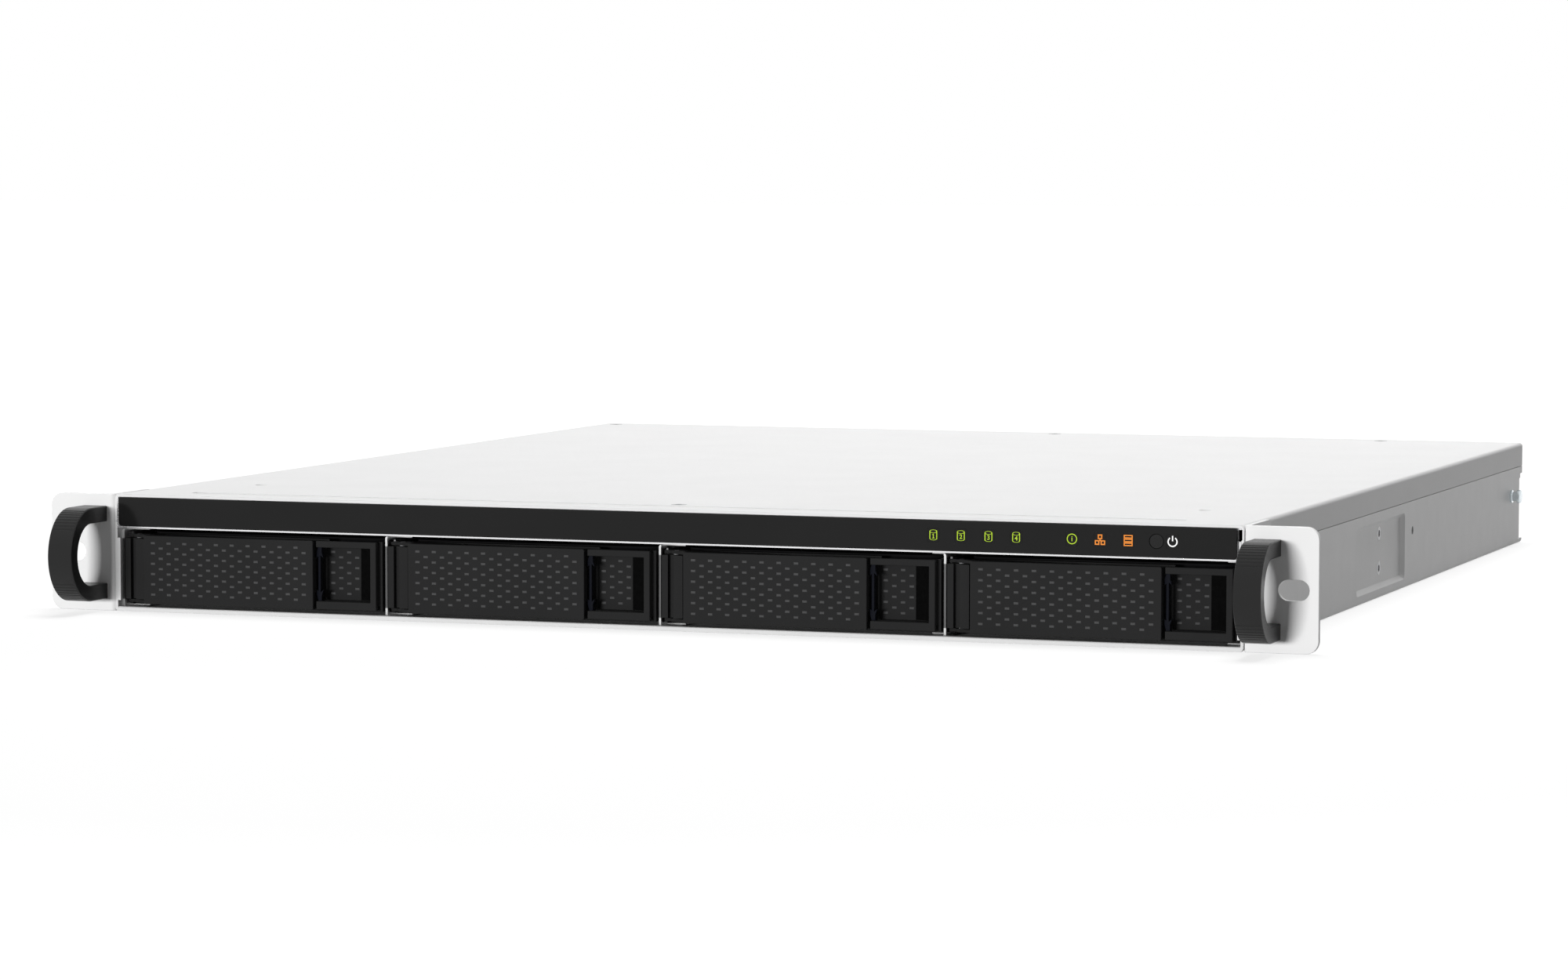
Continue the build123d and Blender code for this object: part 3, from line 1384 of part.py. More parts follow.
def rear_panel():
    """Recessed back plate with its floor and roof flanges, socket cut-outs and vents."""
    outline = span(-lip_inside + FIT_GAP, lip_inside - FIT_GAP, SHEET, cover_under)
    outline += span(-half_inside, half_inside, SHEET + BEND, notch_low)
    base = main_board_top
    outline -= cutout(rj45_x, rj45_x + 2 * RJ45_WIDTH, base, base + RJ45_HEIGHT)
    for step in (0, 1):
        cage = fibre_x + step * FIBRE_PITCH
        outline -= cutout(cage, cage + FIBRE_WIDTH, base, base + FIBRE_HEIGHT)
        stack = usb_x + step * USB_PITCH
        outline -= cutout(stack, stack + USB_WIDTH, base, base + USB_HEIGHT)
    half = SLOT_COVER_LENGTH / 2 - 2 * SHEET
    vent_left = VENT_INSET - half_inside
    vent_right = slot_cover_x - half - VENT_TO_SLOT
    vent_top = cover_under - VENT_TOP_GAP
    for step in range(int((vent_right - vent_left) // VENT_PITCH)):
        x = vent_left + step * VENT_PITCH
        outline -= span(x, x + VENT_WIDTH, vent_top - VENT_TALL, vent_top)
    low = slot_cover_low + SHEET
    outline -= span(
        slot_cover_x - half, slot_cover_x + half, low, slot_cover_low + SLOT_COVER_HEIGHT - SHEET
    )
    left = supply_x - PSU_WIDTH / 2 + PSU_FRAME
    right = supply_x + PSU_WIDTH / 2 - PSU_FRAME
    outline -= span(left, right, SHEET + PSU_FRAME, SHEET + supply_height - PSU_FRAME)
    panel = front_plate(outline, rear_inside, rear_outside)
    edge = lip_inside - FIT_GAP
    flange_front = rear_outside - REAR_FLANGE
    panel += block(-edge, edge, flange_front, rear_outside, cover_under - SHEET, cover_under)
    lower = block(-edge, edge, flange_front, rear_outside, SHEET, 2 * SHEET)
    clear = PSU_WIDTH / 2 + CUTOUT_GAP
    lower -= block(supply_x - clear, supply_x + clear, 0, rear_inside, 0, unit_height)
    lower -= block(supply_x - clear, supply_x + clear, 0, body_depth, 0, unit_height)
    panel += lower
    hole_back = body_depth - REAR_LEAF / 2
    for side in (-1, 1):
        outside = side * half_inside
        within = side * (half_inside - SHEET)
        leaf = block(*sorted((outside, within)), flange_front, rear_outside, SHEET + BEND, notch_low)
        for z in (SHEET + BEND + LEAF_HOLE_INSET, notch_low - LEAF_HOLE_INSET):
            leaf -= rod(LEAF_HOLE_RADIUS, (outside, hole_back, z), (within, hole_back, z))
        panel += leaf
    for x, y, z in cover_screw_points()[:-1]:
        panel -= rod(SCREW_RADIUS + RUNNING_GAP, (x, y, z), (x, y, cover_under - SHEET - cut_margin))
    return panel


def slot_cover():
    """Blank lying over the expansion slot, with a pressed stiffening bead."""
    half = SLOT_COVER_LENGTH / 2
    low = slot_cover_low
    high = slot_cover_low + SLOT_COVER_HEIGHT
    plate = front_plate(
        span(slot_cover_x - half, slot_cover_x + half, low, high, SHEET),
        rear_inside - SLOT_COVER_THICK,
        rear_inside,
    )
    bead = SlotOverall(SLOT_COVER_LENGTH - 10 * SHEET, 4 * SHEET)
    return plate + front_plate(
        Pos(slot_cover_x, (low + high) / 2) * bead, rear_inside, rear_inside + SLOT_COVER_THICK / 2
    )


# Power supply
def psu_fan_place():
    return supply_x + PSU_FAN_OFFSET, SHEET + supply_height / 2


def psu_inlet_place():
    return supply_x + INLET_OFFSET, SHEET + supply_height / 2


def psu_case():
    """Closed steel case with a ringed fan grille and the pocket that holds the inlet."""
    left = supply_x - PSU_WIDTH / 2
    front = supply_front
    case = flat_plate(span(left, left + PSU_WIDTH, front, rear_inside, SHEET), SHEET, SHEET + supply_height)
    x, z = psu_fan_place()
    half = supply_fan / 2 + SEAT_GAP / 2
    pocket_back = rear_inside - PSU_GRILLE_THICK
    case -= block(
        x - half, x + half, pocket_back - PSU_FAN_DEPTH - SEAT_GAP, pocket_back, z - half, z + half
    )
    grille = Sketch()
    for step in range(PSU_GRILLE_RINGS):
        outer = PSU_RING_PITCH * (step + 1)
        grille += Circle(outer) - Circle(outer - PSU_RING_WIDTH)
    reach = PSU_RING_PITCH * (PSU_GRILLE_RINGS + 1)
    for angle in (45, 135):
        grille -= Rot(0, 0, angle) * Rectangle(2 * reach, PSU_SPOKE_WIDTH)
    case -= front_plate(Pos(x, z) * grille, pocket_back - cut_margin, rear_inside + cut_margin)
    x, z = psu_inlet_place()
    wide = INLET_WIDTH / 2 + FIT_GAP
    tall = INLET_HEIGHT / 2 + FIT_GAP
    return case - block(
        x - wide, x + wide, rear_inside - INLET_DEPTH, rear_inside + cut_margin, z - tall, z + tall
    )


def psu_inlet():
    """Mains inlet: chamfered socket with three flat contact blades."""
    x, z = psu_inlet_place()
    front = rear_inside - INLET_DEPTH
    body = block(-INLET_WIDTH / 2, INLET_WIDTH / 2, front, rear_inside, -INLET_HEIGHT / 2, INLET_HEIGHT / 2)
    wide = INLET_MOUTH_WIDTH / 2
    tall = INLET_MOUTH_HEIGHT / 2
    chamfered = tall / 2
    mouth = polygon(
        (-wide, tall),
        (wide, tall),
        (wide, -tall + chamfered),
        (wide - chamfered, -tall),
        (-wide + chamfered, -tall),
        (-wide, -tall + chamfered),
    )
    body -= front_plate(mouth, rear_inside - INLET_MOUTH_DEEP, rear_inside + cut_margin)
    blade = 2 * SHEET
    for step in (-1, 0, 1):
        low = -2 * blade if step else -blade
        pin = span(step * INLET_PIN_PITCH - SHEET, step * INLET_PIN_PITCH + SHEET, low, low + 2 * blade)
        body += front_plate(pin, rear_inside - INLET_MOUTH_DEEP, rear_inside - blade)
    return Pos(x, 0, z) * body


def psu_lead():
    """Power lead from the supply down to the main board."""
    start = Vector(supply_x, supply_front, SHEET + supply_height / 2)
    landing = board_right - 3 * STANDOFF_INSET
    turn_y = board_front + 2 * STANDOFF_INSET
    points = [
        start,
        (start.X, turn_y, start.Z),
        (landing, turn_y, start.Z),
        (landing, turn_y, main_board_top + 4 * SHEET),
    ]
    path = FilletPolyline(*points, radius=2 * LEAD_RADIUS)
    section = Plane(origin=start, z_dir=path % 0) * Circle(LEAD_RADIUS)
    plug = block(
        landing - 4 * SHEET, landing + 4 * SHEET, turn_y - 4 * SHEET, turn_y + 4 * SHEET,
        main_board_top, main_board_top + 4 * SHEET,
    )
    return sweep(section, path=path) + plug


# Write every sub-part
os.makedirs("parts", exist_ok=True)
save("chassis_pan", chassis_pan())
save("rail_studs", *rail_studs())
save("top_cover", top_cover())
save("cover_screws", *cover_screws())
save("front_frame", front_frame())
save("fascia_panel", fascia_panel())
save("indicator_windows", *indicator_windows())
save("power_button", power_button())
save("front_panel_board", front_panel_board())
save("right_rack_ear", rack_ear())
save("left_rack_ear", mirror(rack_ear(), Plane.YZ))
save("right_handle", handle())
save("left_handle", mirror(handle(), Plane.YZ))
save("handle_screws", *handle_screws())
save("ear_screws", *ear_screws())
save("bay_dividers", *bay_dividers())
save("backplane_board", backplane_board())
save("backplane_sockets", *backplane_sockets())
save("fan_wall", fan_wall())
save("side_screws", *side_screws())
save("fan_screws", *fan_screws())
save("main_board", main_board())
save("board_standoffs", *board_standoffs())
save("board_screws", *board_screws())
save("processor_heatsink", processor_heatsink())
save("memory_module", memory_module())
save("network_sockets", *network_sockets())
save("fibre_cages", *fibre_cages())
save("usb_sockets", *usb_sockets())
save("rear_panel", rear_panel())
save("slot_cover", slot_cover())
save("psu_case", psu_case())
save("psu_inlet", psu_inlet())
save("psu_lead", psu_lead())

for number, centre_x in enumerate(FAN_OFFSETS, start=1):
    place = Pos(centre_x, fan_wall_front + SHEET, fan_centre)
    save(f"fan_{number}_frame", place * fan_frame(fan_size, FAN_DEPTH, FAN_HOLE_INSET))
    save(f"fan_{number}_rotor", place * fan_rotor(fan_size, FAN_DEPTH))

supply_fan_x, supply_fan_z = psu_fan_place()
supply_fan_front = rear_inside - PSU_GRILLE_THICK - PSU_FAN_DEPTH
place = Pos(supply_fan_x, supply_fan_front, supply_fan_z)
save("psu_fan_frame", place * fan_frame(supply_fan, PSU_FAN_DEPTH, 0))
save("psu_fan_rotor", place * fan_rotor(supply_fan, PSU_FAN_DEPTH))

carrier = tray_carrier()
lever = tray_lever()
latch = tray_latch()
fasteners = tray_fasteners()
drive = hard_drive()
for number in range(1, BAY_COUNT + 1):
    place = Pos(bay_left(number), 0, 0)
    save(f"tray_{number}_carrier", place * carrier)
    save(f"tray_{number}_lever", place * lever)
    save(f"tray_{number}_latch", place * latch)
    save(f"tray_{number}_fasteners", *[place * piece for piece in fasteners])
    save(f"hard_drive_{number}", place * drive)
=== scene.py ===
import json
from math import cos, pi, radians, sin

import bmesh
import bpy
from mathutils import Matrix, Vector


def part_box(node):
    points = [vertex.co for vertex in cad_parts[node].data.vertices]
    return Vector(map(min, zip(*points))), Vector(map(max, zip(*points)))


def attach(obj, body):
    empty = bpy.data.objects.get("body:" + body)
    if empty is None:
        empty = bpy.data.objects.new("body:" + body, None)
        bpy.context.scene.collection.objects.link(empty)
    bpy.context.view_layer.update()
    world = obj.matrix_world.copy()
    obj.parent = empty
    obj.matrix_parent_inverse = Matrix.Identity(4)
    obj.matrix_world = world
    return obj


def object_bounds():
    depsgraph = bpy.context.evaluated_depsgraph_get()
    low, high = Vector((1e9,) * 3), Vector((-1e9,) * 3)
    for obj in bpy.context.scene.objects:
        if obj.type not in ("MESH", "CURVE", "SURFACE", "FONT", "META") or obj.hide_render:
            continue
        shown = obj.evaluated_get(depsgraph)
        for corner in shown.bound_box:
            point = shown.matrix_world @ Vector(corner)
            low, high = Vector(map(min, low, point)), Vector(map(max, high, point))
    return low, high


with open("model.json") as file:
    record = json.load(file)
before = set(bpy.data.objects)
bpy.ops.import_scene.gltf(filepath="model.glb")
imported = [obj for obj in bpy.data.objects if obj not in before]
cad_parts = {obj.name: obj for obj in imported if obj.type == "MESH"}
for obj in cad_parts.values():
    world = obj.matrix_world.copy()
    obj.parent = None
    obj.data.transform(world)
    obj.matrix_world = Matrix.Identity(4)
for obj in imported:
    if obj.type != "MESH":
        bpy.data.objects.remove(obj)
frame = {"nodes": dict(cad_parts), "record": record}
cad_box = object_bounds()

MM = 0.001
FRONT_FACING = Matrix.Rotation(pi / 2, 4, "X")
TRAYS = range(1, 5)


# Shader nodes


def new_material(name):
    material = bpy.data.materials.new(name)
    material.use_nodes = True
    tree = material.node_tree
    return material, tree, tree.nodes["Principled BSDF"]


def add_node(tree, kind, **settings):
    """A node whose settings are its sockets' values or its own properties."""
    node = tree.nodes.new(kind)
    for key, value in settings.items():
        if key in node.inputs:
            node.inputs[key].default_value = value
        else:
            setattr(node, key, value)
    return node


def object_place(tree):
    """The place of each point on the piece itself."""
    return add_node(tree, "ShaderNodeTexCoord").outputs["Object"]


def placed_noise(tree, size, stretch=(1, 1, 1), detail=3.0):
    """Noise on the object's own coordinates, whose grain is about size metres wide."""
    mapping = add_node(tree, "ShaderNodeMapping")
    mapping.inputs["Scale"].default_value = [axis / size for axis in stretch]
    noise = add_node(tree, "ShaderNodeTexNoise", Scale=1.0, Detail=detail)
    tree.links.new(object_place(tree), mapping.inputs["Vector"])
    tree.links.new(mapping.outputs["Vector"], noise.inputs["Vector"])
    return noise.outputs["Fac"]


def spread(tree, source, low, high, source_low=0.3, source_high=0.7):
    """A stretch of the source's range, drawn out between low and high."""
    steps = add_node(tree, "ShaderNodeMapRange", clamp=True)
    steps.inputs["From Min"].default_value = source_low
    steps.inputs["From Max"].default_value = source_high
    steps.inputs["To Min"].default_value = low
    steps.inputs["To Max"].default_value = high
    tree.links.new(source, steps.inputs["Value"])
    return steps.outputs["Result"]


def combine(tree, operation, first, second):
    """Two values brought together by one step of arithmetic."""
    step = add_node(tree, "ShaderNodeMath", operation=operation)
    tree.links.new(first, step.inputs[0])
    tree.links.new(second, step.inputs[1])
    return step.outputs[0]


def blend(tree, source, first, second):
    """Colour that goes from the first to the second as the source rises."""
    mix = add_node(tree, "ShaderNodeMix", data_type="RGBA")
    tree.links.new(source, mix.inputs["Factor"])
    for socket, colour in ((mix.inputs[6], first), (mix.inputs[7], second)):
        if isinstance(colour, bpy.types.NodeSocket):
            tree.links.new(colour, socket)
        else:
            socket.default_value = [*colour, 1]
    return mix.outputs[2]


def shade(tree, source, colour, change):
    """A colour that the source darkens and lightens by a share of itself."""
    darker = [c * (1 - change) for c in colour]
    lighter = [min(c * (1 + change), 1) for c in colour]
    return blend(tree, source, darker, lighter)


def add_relief(tree, shader, height, depth, strength=1.0):
    """Fine relief on the surface, depth metres deep where the height is 1."""
    relief = add_node(tree, "ShaderNodeBump", Strength=strength, Distance=depth)
    tree.links.new(height, relief.inputs["Height"])
    tree.links.new(relief.outputs["Normal"], shader.inputs["Normal"])
    return relief


def edge_mask(tree, eased, radius):
    """White along sharp edges, broken up by noise, where a surface rubs first."""
    surface = add_node(tree, "ShaderNodeNewGeometry")
    facing = add_node(tree, "ShaderNodeVectorMath", operation="DOT_PRODUCT")
    tree.links.new(eased, facing.inputs[0])
    tree.links.new(surface.outputs["Normal"], facing.inputs[1])
    edge = spread(tree, facing.outputs["Value"], 1, 0, 0.75, 0.98)
    broken = spread(tree, placed_noise(tree, radius * 6), 0.2, 1)
    return combine(tree, "MULTIPLY", edge, broken)


def seen_by(tree, *rays):
    """1 for the kinds of ray named, and 0 for the light that falls on the part."""
    path = add_node(tree, "ShaderNodeLightPath")
    seen = path.outputs[f"Is {rays[0]} Ray"]
    for ray in rays[1:]:
        seen = combine(tree, "MAXIMUM", seen, path.outputs[f"Is {ray} Ray"])
    return seen


# Kinds of finish


def grey(level):
    return (level, level, level)


def finish(
    name, colour, roughness, metallic=0.0, specular=0.5, mottle=0.04, mottle_size=0.03,
    rough_change=0.06, grain_size=0.0004, grain=0.05, stretch=(1, 1, 1), easing=0.25, worn=None,
):
    """A finish whose colour, gloss and relief vary a little, with eased and rubbed edges.

    The grain is the relief's depth and the easing the edges' radius, both in millimetres.
    """
    material, tree, shader = new_material(name)
    shader.inputs["Metallic"].default_value = metallic
    shader.inputs["Specular IOR Level"].default_value = specular
    broad = spread(tree, placed_noise(tree, mottle_size, stretch), 0, 1)
    tone = shade(tree, broad, colour, mottle)
    fine = placed_noise(tree, grain_size, stretch)
    gloss = spread(tree, fine, max(roughness - rough_change, 0.02), min(roughness + rough_change, 1))
    relief = add_relief(tree, shader, fine, grain * MM)
    if easing:
        eased = add_node(tree, "ShaderNodeBevel", samples=4, Radius=easing * MM)
        tree.links.new(eased.outputs["Normal"], relief.inputs["Normal"])
        if worn:
            mask = edge_mask(tree, eased.outputs["Normal"], easing * MM)
            tone = blend(tree, mask, tone, worn)
    tree.links.new(tone, shader.inputs["Base Color"])
    tree.links.new(gloss, shader.inputs["Roughness"])
    return material


def lit_finish(name, colour, strength):
    """A symbol lit from behind, a little uneven like a light guide."""
    material, tree, shader = new_material(name)
    shader.inputs["Roughness"].default_value = 0.5
    patch = spread(tree, placed_noise(tree, 0.0012), 0, 1)
    glow = shade(tree, patch, colour, 0.08)
    tree.links.new(glow, shader.inputs["Base Color"])
    tree.links.new(glow, shader.inputs["Emission Color"])
    shader.inputs["Emission Strength"].default_value = strength
    return material


def board_finish(name):
    """Green solder mask over copper lanes that show as slightly lighter lines."""
    material, tree, shader = new_material(name)
    lanes = add_node(tree, "ShaderNodeTexBrick", Scale=120.0)
    lanes.inputs["Color1"].default_value = (0.010, 0.075, 0.030, 1)
    lanes.inputs["Color2"].default_value = (0.014, 0.095, 0.038, 1)
    lanes.inputs["Mortar"].default_value = (0.030, 0.160, 0.065, 1)
    lanes.inputs["Mortar Size"].default_value = 0.03
    tree.links.new(object_place(tree), lanes.inputs["Vector"])
    tree.links.new(lanes.outputs["Color"], shader.inputs["Base Color"])
    tree.links.new(spread(tree, placed_noise(tree, 0.002), 0.25, 0.4), shader.inputs["Roughness"])
    add_relief(tree, shader, lanes.outputs["Fac"], 0.03 * MM, strength=0.6)
    return material


def cut_sheet_finish(name, dull_and_shaded, bright, foot_fold, top_fold, fold_blur):
    """Zinc sheet, dull where it was sheared and painted darker there as shade, and bright past the
    heights of its two folds.
    """
    material, tree, shader = new_material(name)
    shader.inputs["Metallic"].default_value = 0.85
    axes = add_node(tree, "ShaderNodeSeparateXYZ")
    tree.links.new(object_place(tree), axes.inputs["Vector"])
    height = axes.outputs["Z"]
    near_top = spread(tree, height, 0, 1, top_fold - fold_blur, top_fold + fold_blur)
    near_foot = spread(tree, height, 1, 0, foot_fold - fold_blur, foot_fold + fold_blur)
    folds = combine(tree, "MAXIMUM", near_top, near_foot)
    spangle = spread(tree, placed_noise(tree, 0.006), 0, 1)
    tone = blend(tree, folds, shade(tree, spangle, dull_and_shaded, 0.08), shade(tree, spangle, bright, 0.05))
    tree.links.new(tone, shader.inputs["Base Color"])
    tree.links.new(spread(tree, spangle, 0.3, 0.42, 0, 1), shader.inputs["Roughness"])
    add_relief(tree, shader, placed_noise(tree, 0.0006), 0.01 * MM)
    return material


# Finishes of the CAD pieces, by material slot

slot_settings = {
    "cover_paint": dict(
        colour=grey(0.80), roughness=0.45, specular=0.3, mottle=0.012, grain=0.01, worn=grey(0.87),
    ),
    "ear_paint": dict(
        colour=grey(0.86), roughness=0.4, specular=0.35, mottle=0.01, grain=0.008, worn=grey(0.9),
    ),
    "chassis_steel": dict(
        colour=grey(0.76), roughness=0.45, metallic=0.1, specular=0.3, mottle=0.02,
        mottle_size=0.012, grain=0.008, worn=grey(0.85),
    ),
    "bright_sheet": dict(
        colour=(0.82, 0.82, 0.83), roughness=0.26, metallic=0.9, mottle=0.03,
        stretch=(0.2, 1, 1), grain=0.01, easing=0.15,
    ),
    "fascia_black": dict(
        colour=grey(0.0085), roughness=0.13, specular=0.165, mottle=0.06, grain=0.0012,
        rough_change=0.03, worn=grey(0.03),
    ),
    "tray_black": dict(
        colour=(0.018, 0.018, 0.0182), roughness=0.55, specular=0.1, mottle=0.06, grain=0.02,
        worn=grey(0.028),
    ),
    "latch_dark": dict(colour=(0.005, 0.0056, 0.009), roughness=0.4, specular=0.1, grain=0.01),
    "grip_black": dict(
        colour=grey(0.006), roughness=0.34, specular=0.3, mottle=0.06, grain=0.008, worn=grey(0.03),
    ),
    "smoked_window": dict(colour=grey(0.009), roughness=0.2, specular=0.15, grain=0.0, easing=0),
    "button_black": dict(
        colour=grey(0.012), roughness=0.3, specular=0.2, grain=0.01, worn=grey(0.05),
    ),
    "screw_steel": dict(
        colour=(0.42, 0.42, 0.43), roughness=0.35, metallic=0.5, mottle=0.05, mottle_size=0.002,
        grain=0.01,
    ),
    "drive_metal": dict(
        colour=(0.008, 0.008, 0.0085), roughness=0.6, specular=0.06, mottle=0.1, grain=0.03,
    ),
    "socket_plastic": dict(colour=grey(0.02), roughness=0.5, grain=0.02),
    "socket_metal": dict(
        colour=grey(0.7), roughness=0.3, metallic=1.0, mottle=0.05, mottle_size=0.004,
    ),
    "heatsink_metal": dict(
        colour=(0.6, 0.6, 0.62), roughness=0.4, metallic=0.9, stretch=(1, 0.1, 1), easing=0,
    ),
    "fan_plastic": dict(colour=grey(0.022), roughness=0.5, grain=0.03),
    "supply_case": dict(
        colour=(0.66, 0.66, 0.67), roughness=0.35, metallic=0.9, mottle=0.1, mottle_size=0.008,
    ),
    "lead_rubber": dict(colour=grey(0.02), roughness=0.6, grain=0.05, easing=0),
}
slot_finishes = {name: finish(name, **settings) for name, settings in slot_settings.items()}
slot_finishes["board_green"] = board_finish("board_green")


# Finishes of single pieces, and of the pieces that only the scene has

WALL_FOOT_FOLD = 3.2 * MM
WALL_TOP_FOLD = 3.6 * MM
WALL_FOLD_BLUR = 0.2 * MM

walls_low, walls_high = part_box("bay_dividers")
# The walls' sheet is painted dark grey between its folds as shade, and bright past them
wall_sheet = cut_sheet_finish(
    "wall_sheet", grey(0.15), grey(0.82), walls_low.z + WALL_FOOT_FOLD, walls_high.z - WALL_TOP_FOLD,
    WALL_FOLD_BLUR,
)
stud_steel = finish(
    "stud_steel", (0.70, 0.76, 0.79), 0.2, metallic=1.0, mottle=0.03, mottle_size=0.002, grain=0.002,
)
# Near-black matt finish of the sheets that paint shade into the finger recesses
recess_shade_black = finish(
    "recess_shade_black", grey(0.003), 0.8, specular=0.02, mottle=0.2, mottle_size=0.002, easing=0,
)
# The marks' lighter grey is painted light, standing in for the light caught inside the vent slots
mark_painted_light_grey = finish("mark_painted_light_grey", (0.060, 0.060, 0.061), 0.6, specular=0.3, grain=0.02, easing=0)
ready_green = lit_finish("ready_green", (0.36, 0.52, 0.03), 0.25)
link_orange = lit_finish("link_orange", (0.68, 0.22, 0.035), 0.25)
symbol_white = lit_finish("symbol_white", grey(0.85), 0.2)
contact_gold = finish(
    "contact_gold", (0.75, 0.52, 0.2), 0.25, metallic=1.0, mottle=0.05, mottle_size=0.001, easing=0,
)
tongue_blue = finish("tongue_blue", (0.02, 0.09, 0.45), 0.4, grain=0.01, easing=0)

slots = {entry["node"]: entry["material_slot"] for entry in frame["record"]["subparts"]}
own_finishes = {"bay_dividers": wall_sheet, "rail_studs": stud_steel}
for node, piece in frame["nodes"].items():
    piece.data.materials.clear()
    piece.data.materials.append(own_finishes.get(node) or slot_finishes[slots[node]])


# Helpers for new pieces


def place_piece(name, shape, body, material):
    """Turn a bmesh in the part's own frame into a piece that moves with a body."""
    mesh = bpy.data.meshes.new(name)
    bmesh.ops.recalc_face_normals(shape, faces=shape.faces)
    shape.to_mesh(mesh)
    shape.free()
    mesh.materials.append(material)
    piece = bpy.data.objects.new(name, mesh)
    bpy.context.scene.collection.objects.link(piece)
    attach(piece, body)
    return piece


def faces_of(verts):
    return list({face for vert in verts for face in vert.link_faces})


def verts_in(geometry):
    return [item for item in geometry if isinstance(item, bmesh.types.BMVert)]


def rectangle(shape, width, height):
    """A flat rectangle round the origin, in X and Y."""
    made = bmesh.ops.create_grid(shape, x_segments=1, y_segments=1, size=0.5)["verts"]
    bmesh.ops.scale(shape, vec=(width, height, 1), verts=made)
    return made


def thicken(shape, flat, thick):
    """Give flat faces a thickness towards +Z."""
    grown = bmesh.ops.extrude_face_region(shape, geom=flat)
    top = verts_in(grown["geom"])
    bmesh.ops.translate(shape, vec=(0, 0, thick), verts=top)
    return top


def set_on_front(shape, x, y, z):
    """Stand a shape drawn in X and Y up on a front face."""
    bmesh.ops.transform(shape, matrix=Matrix.Translation((x, y, z)) @ FRONT_FACING, verts=shape.verts)


# Matt black sheet on the curved end of each finger recess: painted shade, a dark sheet laid where the
# recess only lies in shade

RECESS_BACK = 8.5 * MM
RECESS_CURVE = 7.4 * MM
RECESS_CURVE_FRONT = 1.0 * MM
RECESS_CURVE_START = 15.4 * MM
RECESS_LOW = 3.25 * MM
RECESS_TOP = 2.35 * MM
SHADE_SHEET_THICK = 0.08 * MM
SHADE_SHEET_FOLDS = 16

for number in TRAYS:
    low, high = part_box(f"tray_{number}_lever")
    shade_sheet = bmesh.new()
    centre = high.x + RECESS_CURVE_START
    floor_of_recess = low.z + RECESS_LOW + SHADE_SHEET_THICK
    roof_of_recess = high.z - RECESS_TOP - SHADE_SHEET_THICK
    foot = shade_sheet.verts.new((centre, RECESS_BACK - SHADE_SHEET_THICK, floor_of_recess))
    head = shade_sheet.verts.new((centre, RECESS_BACK - SHADE_SHEET_THICK, roof_of_recess))
    rim = shade_sheet.edges.new((foot, head))
    for fold in range(1, SHADE_SHEET_FOLDS + 1):
        turn = pi / 2 * (1 - fold / SHADE_SHEET_FOLDS)
        across = centre + (RECESS_CURVE - SHADE_SHEET_THICK) * cos(turn)
        deep = RECESS_CURVE_FRONT + (RECESS_BACK - RECESS_CURVE_FRONT - SHADE_SHEET_THICK) * sin(turn)
        grown = bmesh.ops.extrude_edge_only(shade_sheet, edges=[rim])["geom"]
        here = rim.verts[0].co
        bmesh.ops.translate(shade_sheet, vec=(across - here.x, deep - here.y, 0), verts=verts_in(grown))
        rim = next(item for item in grown if isinstance(item, bmesh.types.BMEdge))
    bmesh.ops.solidify(shade_sheet, geom=list(shade_sheet.faces), thickness=SHADE_SHEET_THICK / 2)
    place_piece(f"tray_{number}_recess_shade_sheet", shade_sheet, f"tray_{number}", recess_shade_black)


# Rows of small vent marks on the levers and in the finger recesses, in a lighter grey that paints the
# light caught by the vents' slot walls

MARK_WIDTH = 1.7 * MM
MARK_HEIGHT = 0.85 * MM
MARK_PROUD = 0.12 * MM
MARK_TOP_SHARE = 0.8
MARK_PITCH = 6.46 * MM
MARK_ROW = 3.82 * MM
MARK_COLUMNS = 10
MARK_ROWS = 6
MARK_RISE = 0.45 * MM
LEVER_MARK_INSET = 3.9 * MM
RECESS_MARK_INSET = 10.6 * MM
RECESS_MARK_COLUMNS = 4
HINGE_INSET = 9.6 * MM


def mark(shape, x, y):
    """A low pad with sloping sides that faces +Z, drawn in X and Y."""
    made = rectangle(shape, MARK_WIDTH, MARK_HEIGHT)
    top = thicken(shape, faces_of(made), MARK_PROUD)
    bmesh.ops.scale(shape, vec=(MARK_TOP_SHARE, MARK_TOP_SHARE, 1), verts=top)
    bmesh.ops.translate(shape, vec=(x, y, 0), verts=made + top)


def mark_column(shape, x, top_row, rows_down, count):
    """A column of marks that starts some rows down from the top row."""
    for row in range(count):
        mark(shape, x, top_row - (rows_down + row) * MARK_ROW)


for number in TRAYS:
    low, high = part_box(f"tray_{number}_lever")
    top_row = (low.z + high.z) / 2 + MARK_RISE + MARK_ROW * (MARK_ROWS - 1) / 2
    marks = bmesh.new()
    for column in range(MARK_COLUMNS):
        x = low.x + HINGE_INSET + LEVER_MARK_INSET + column * MARK_PITCH
        mark_column(marks, x, top_row, 0, MARK_ROWS)
        mark_column(marks, x + MARK_PITCH / 2, top_row, 0.5, MARK_ROWS - 1)
    set_on_front(marks, 0, low.y, 0)
    place_piece(f"tray_{number}_lever_marks", marks, f"lever_{number}", mark_painted_light_grey)
    marks = bmesh.new()
    for column in range(RECESS_MARK_COLUMNS):
        x = high.x + RECESS_MARK_INSET - MARK_PITCH + column * MARK_PITCH / 2
        if column % 2 == 0:
            mark_column(marks, x, top_row, 0.5, MARK_ROWS - 1)
        else:
            mark_column(marks, x, top_row, 1, MARK_ROWS - 2)
    set_on_front(marks, 0, RECESS_BACK, 0)
    place_piece(f"tray_{number}_recess_marks", marks, f"tray_{number}", mark_painted_light_grey)


# Lit symbols on the small windows of the status bar

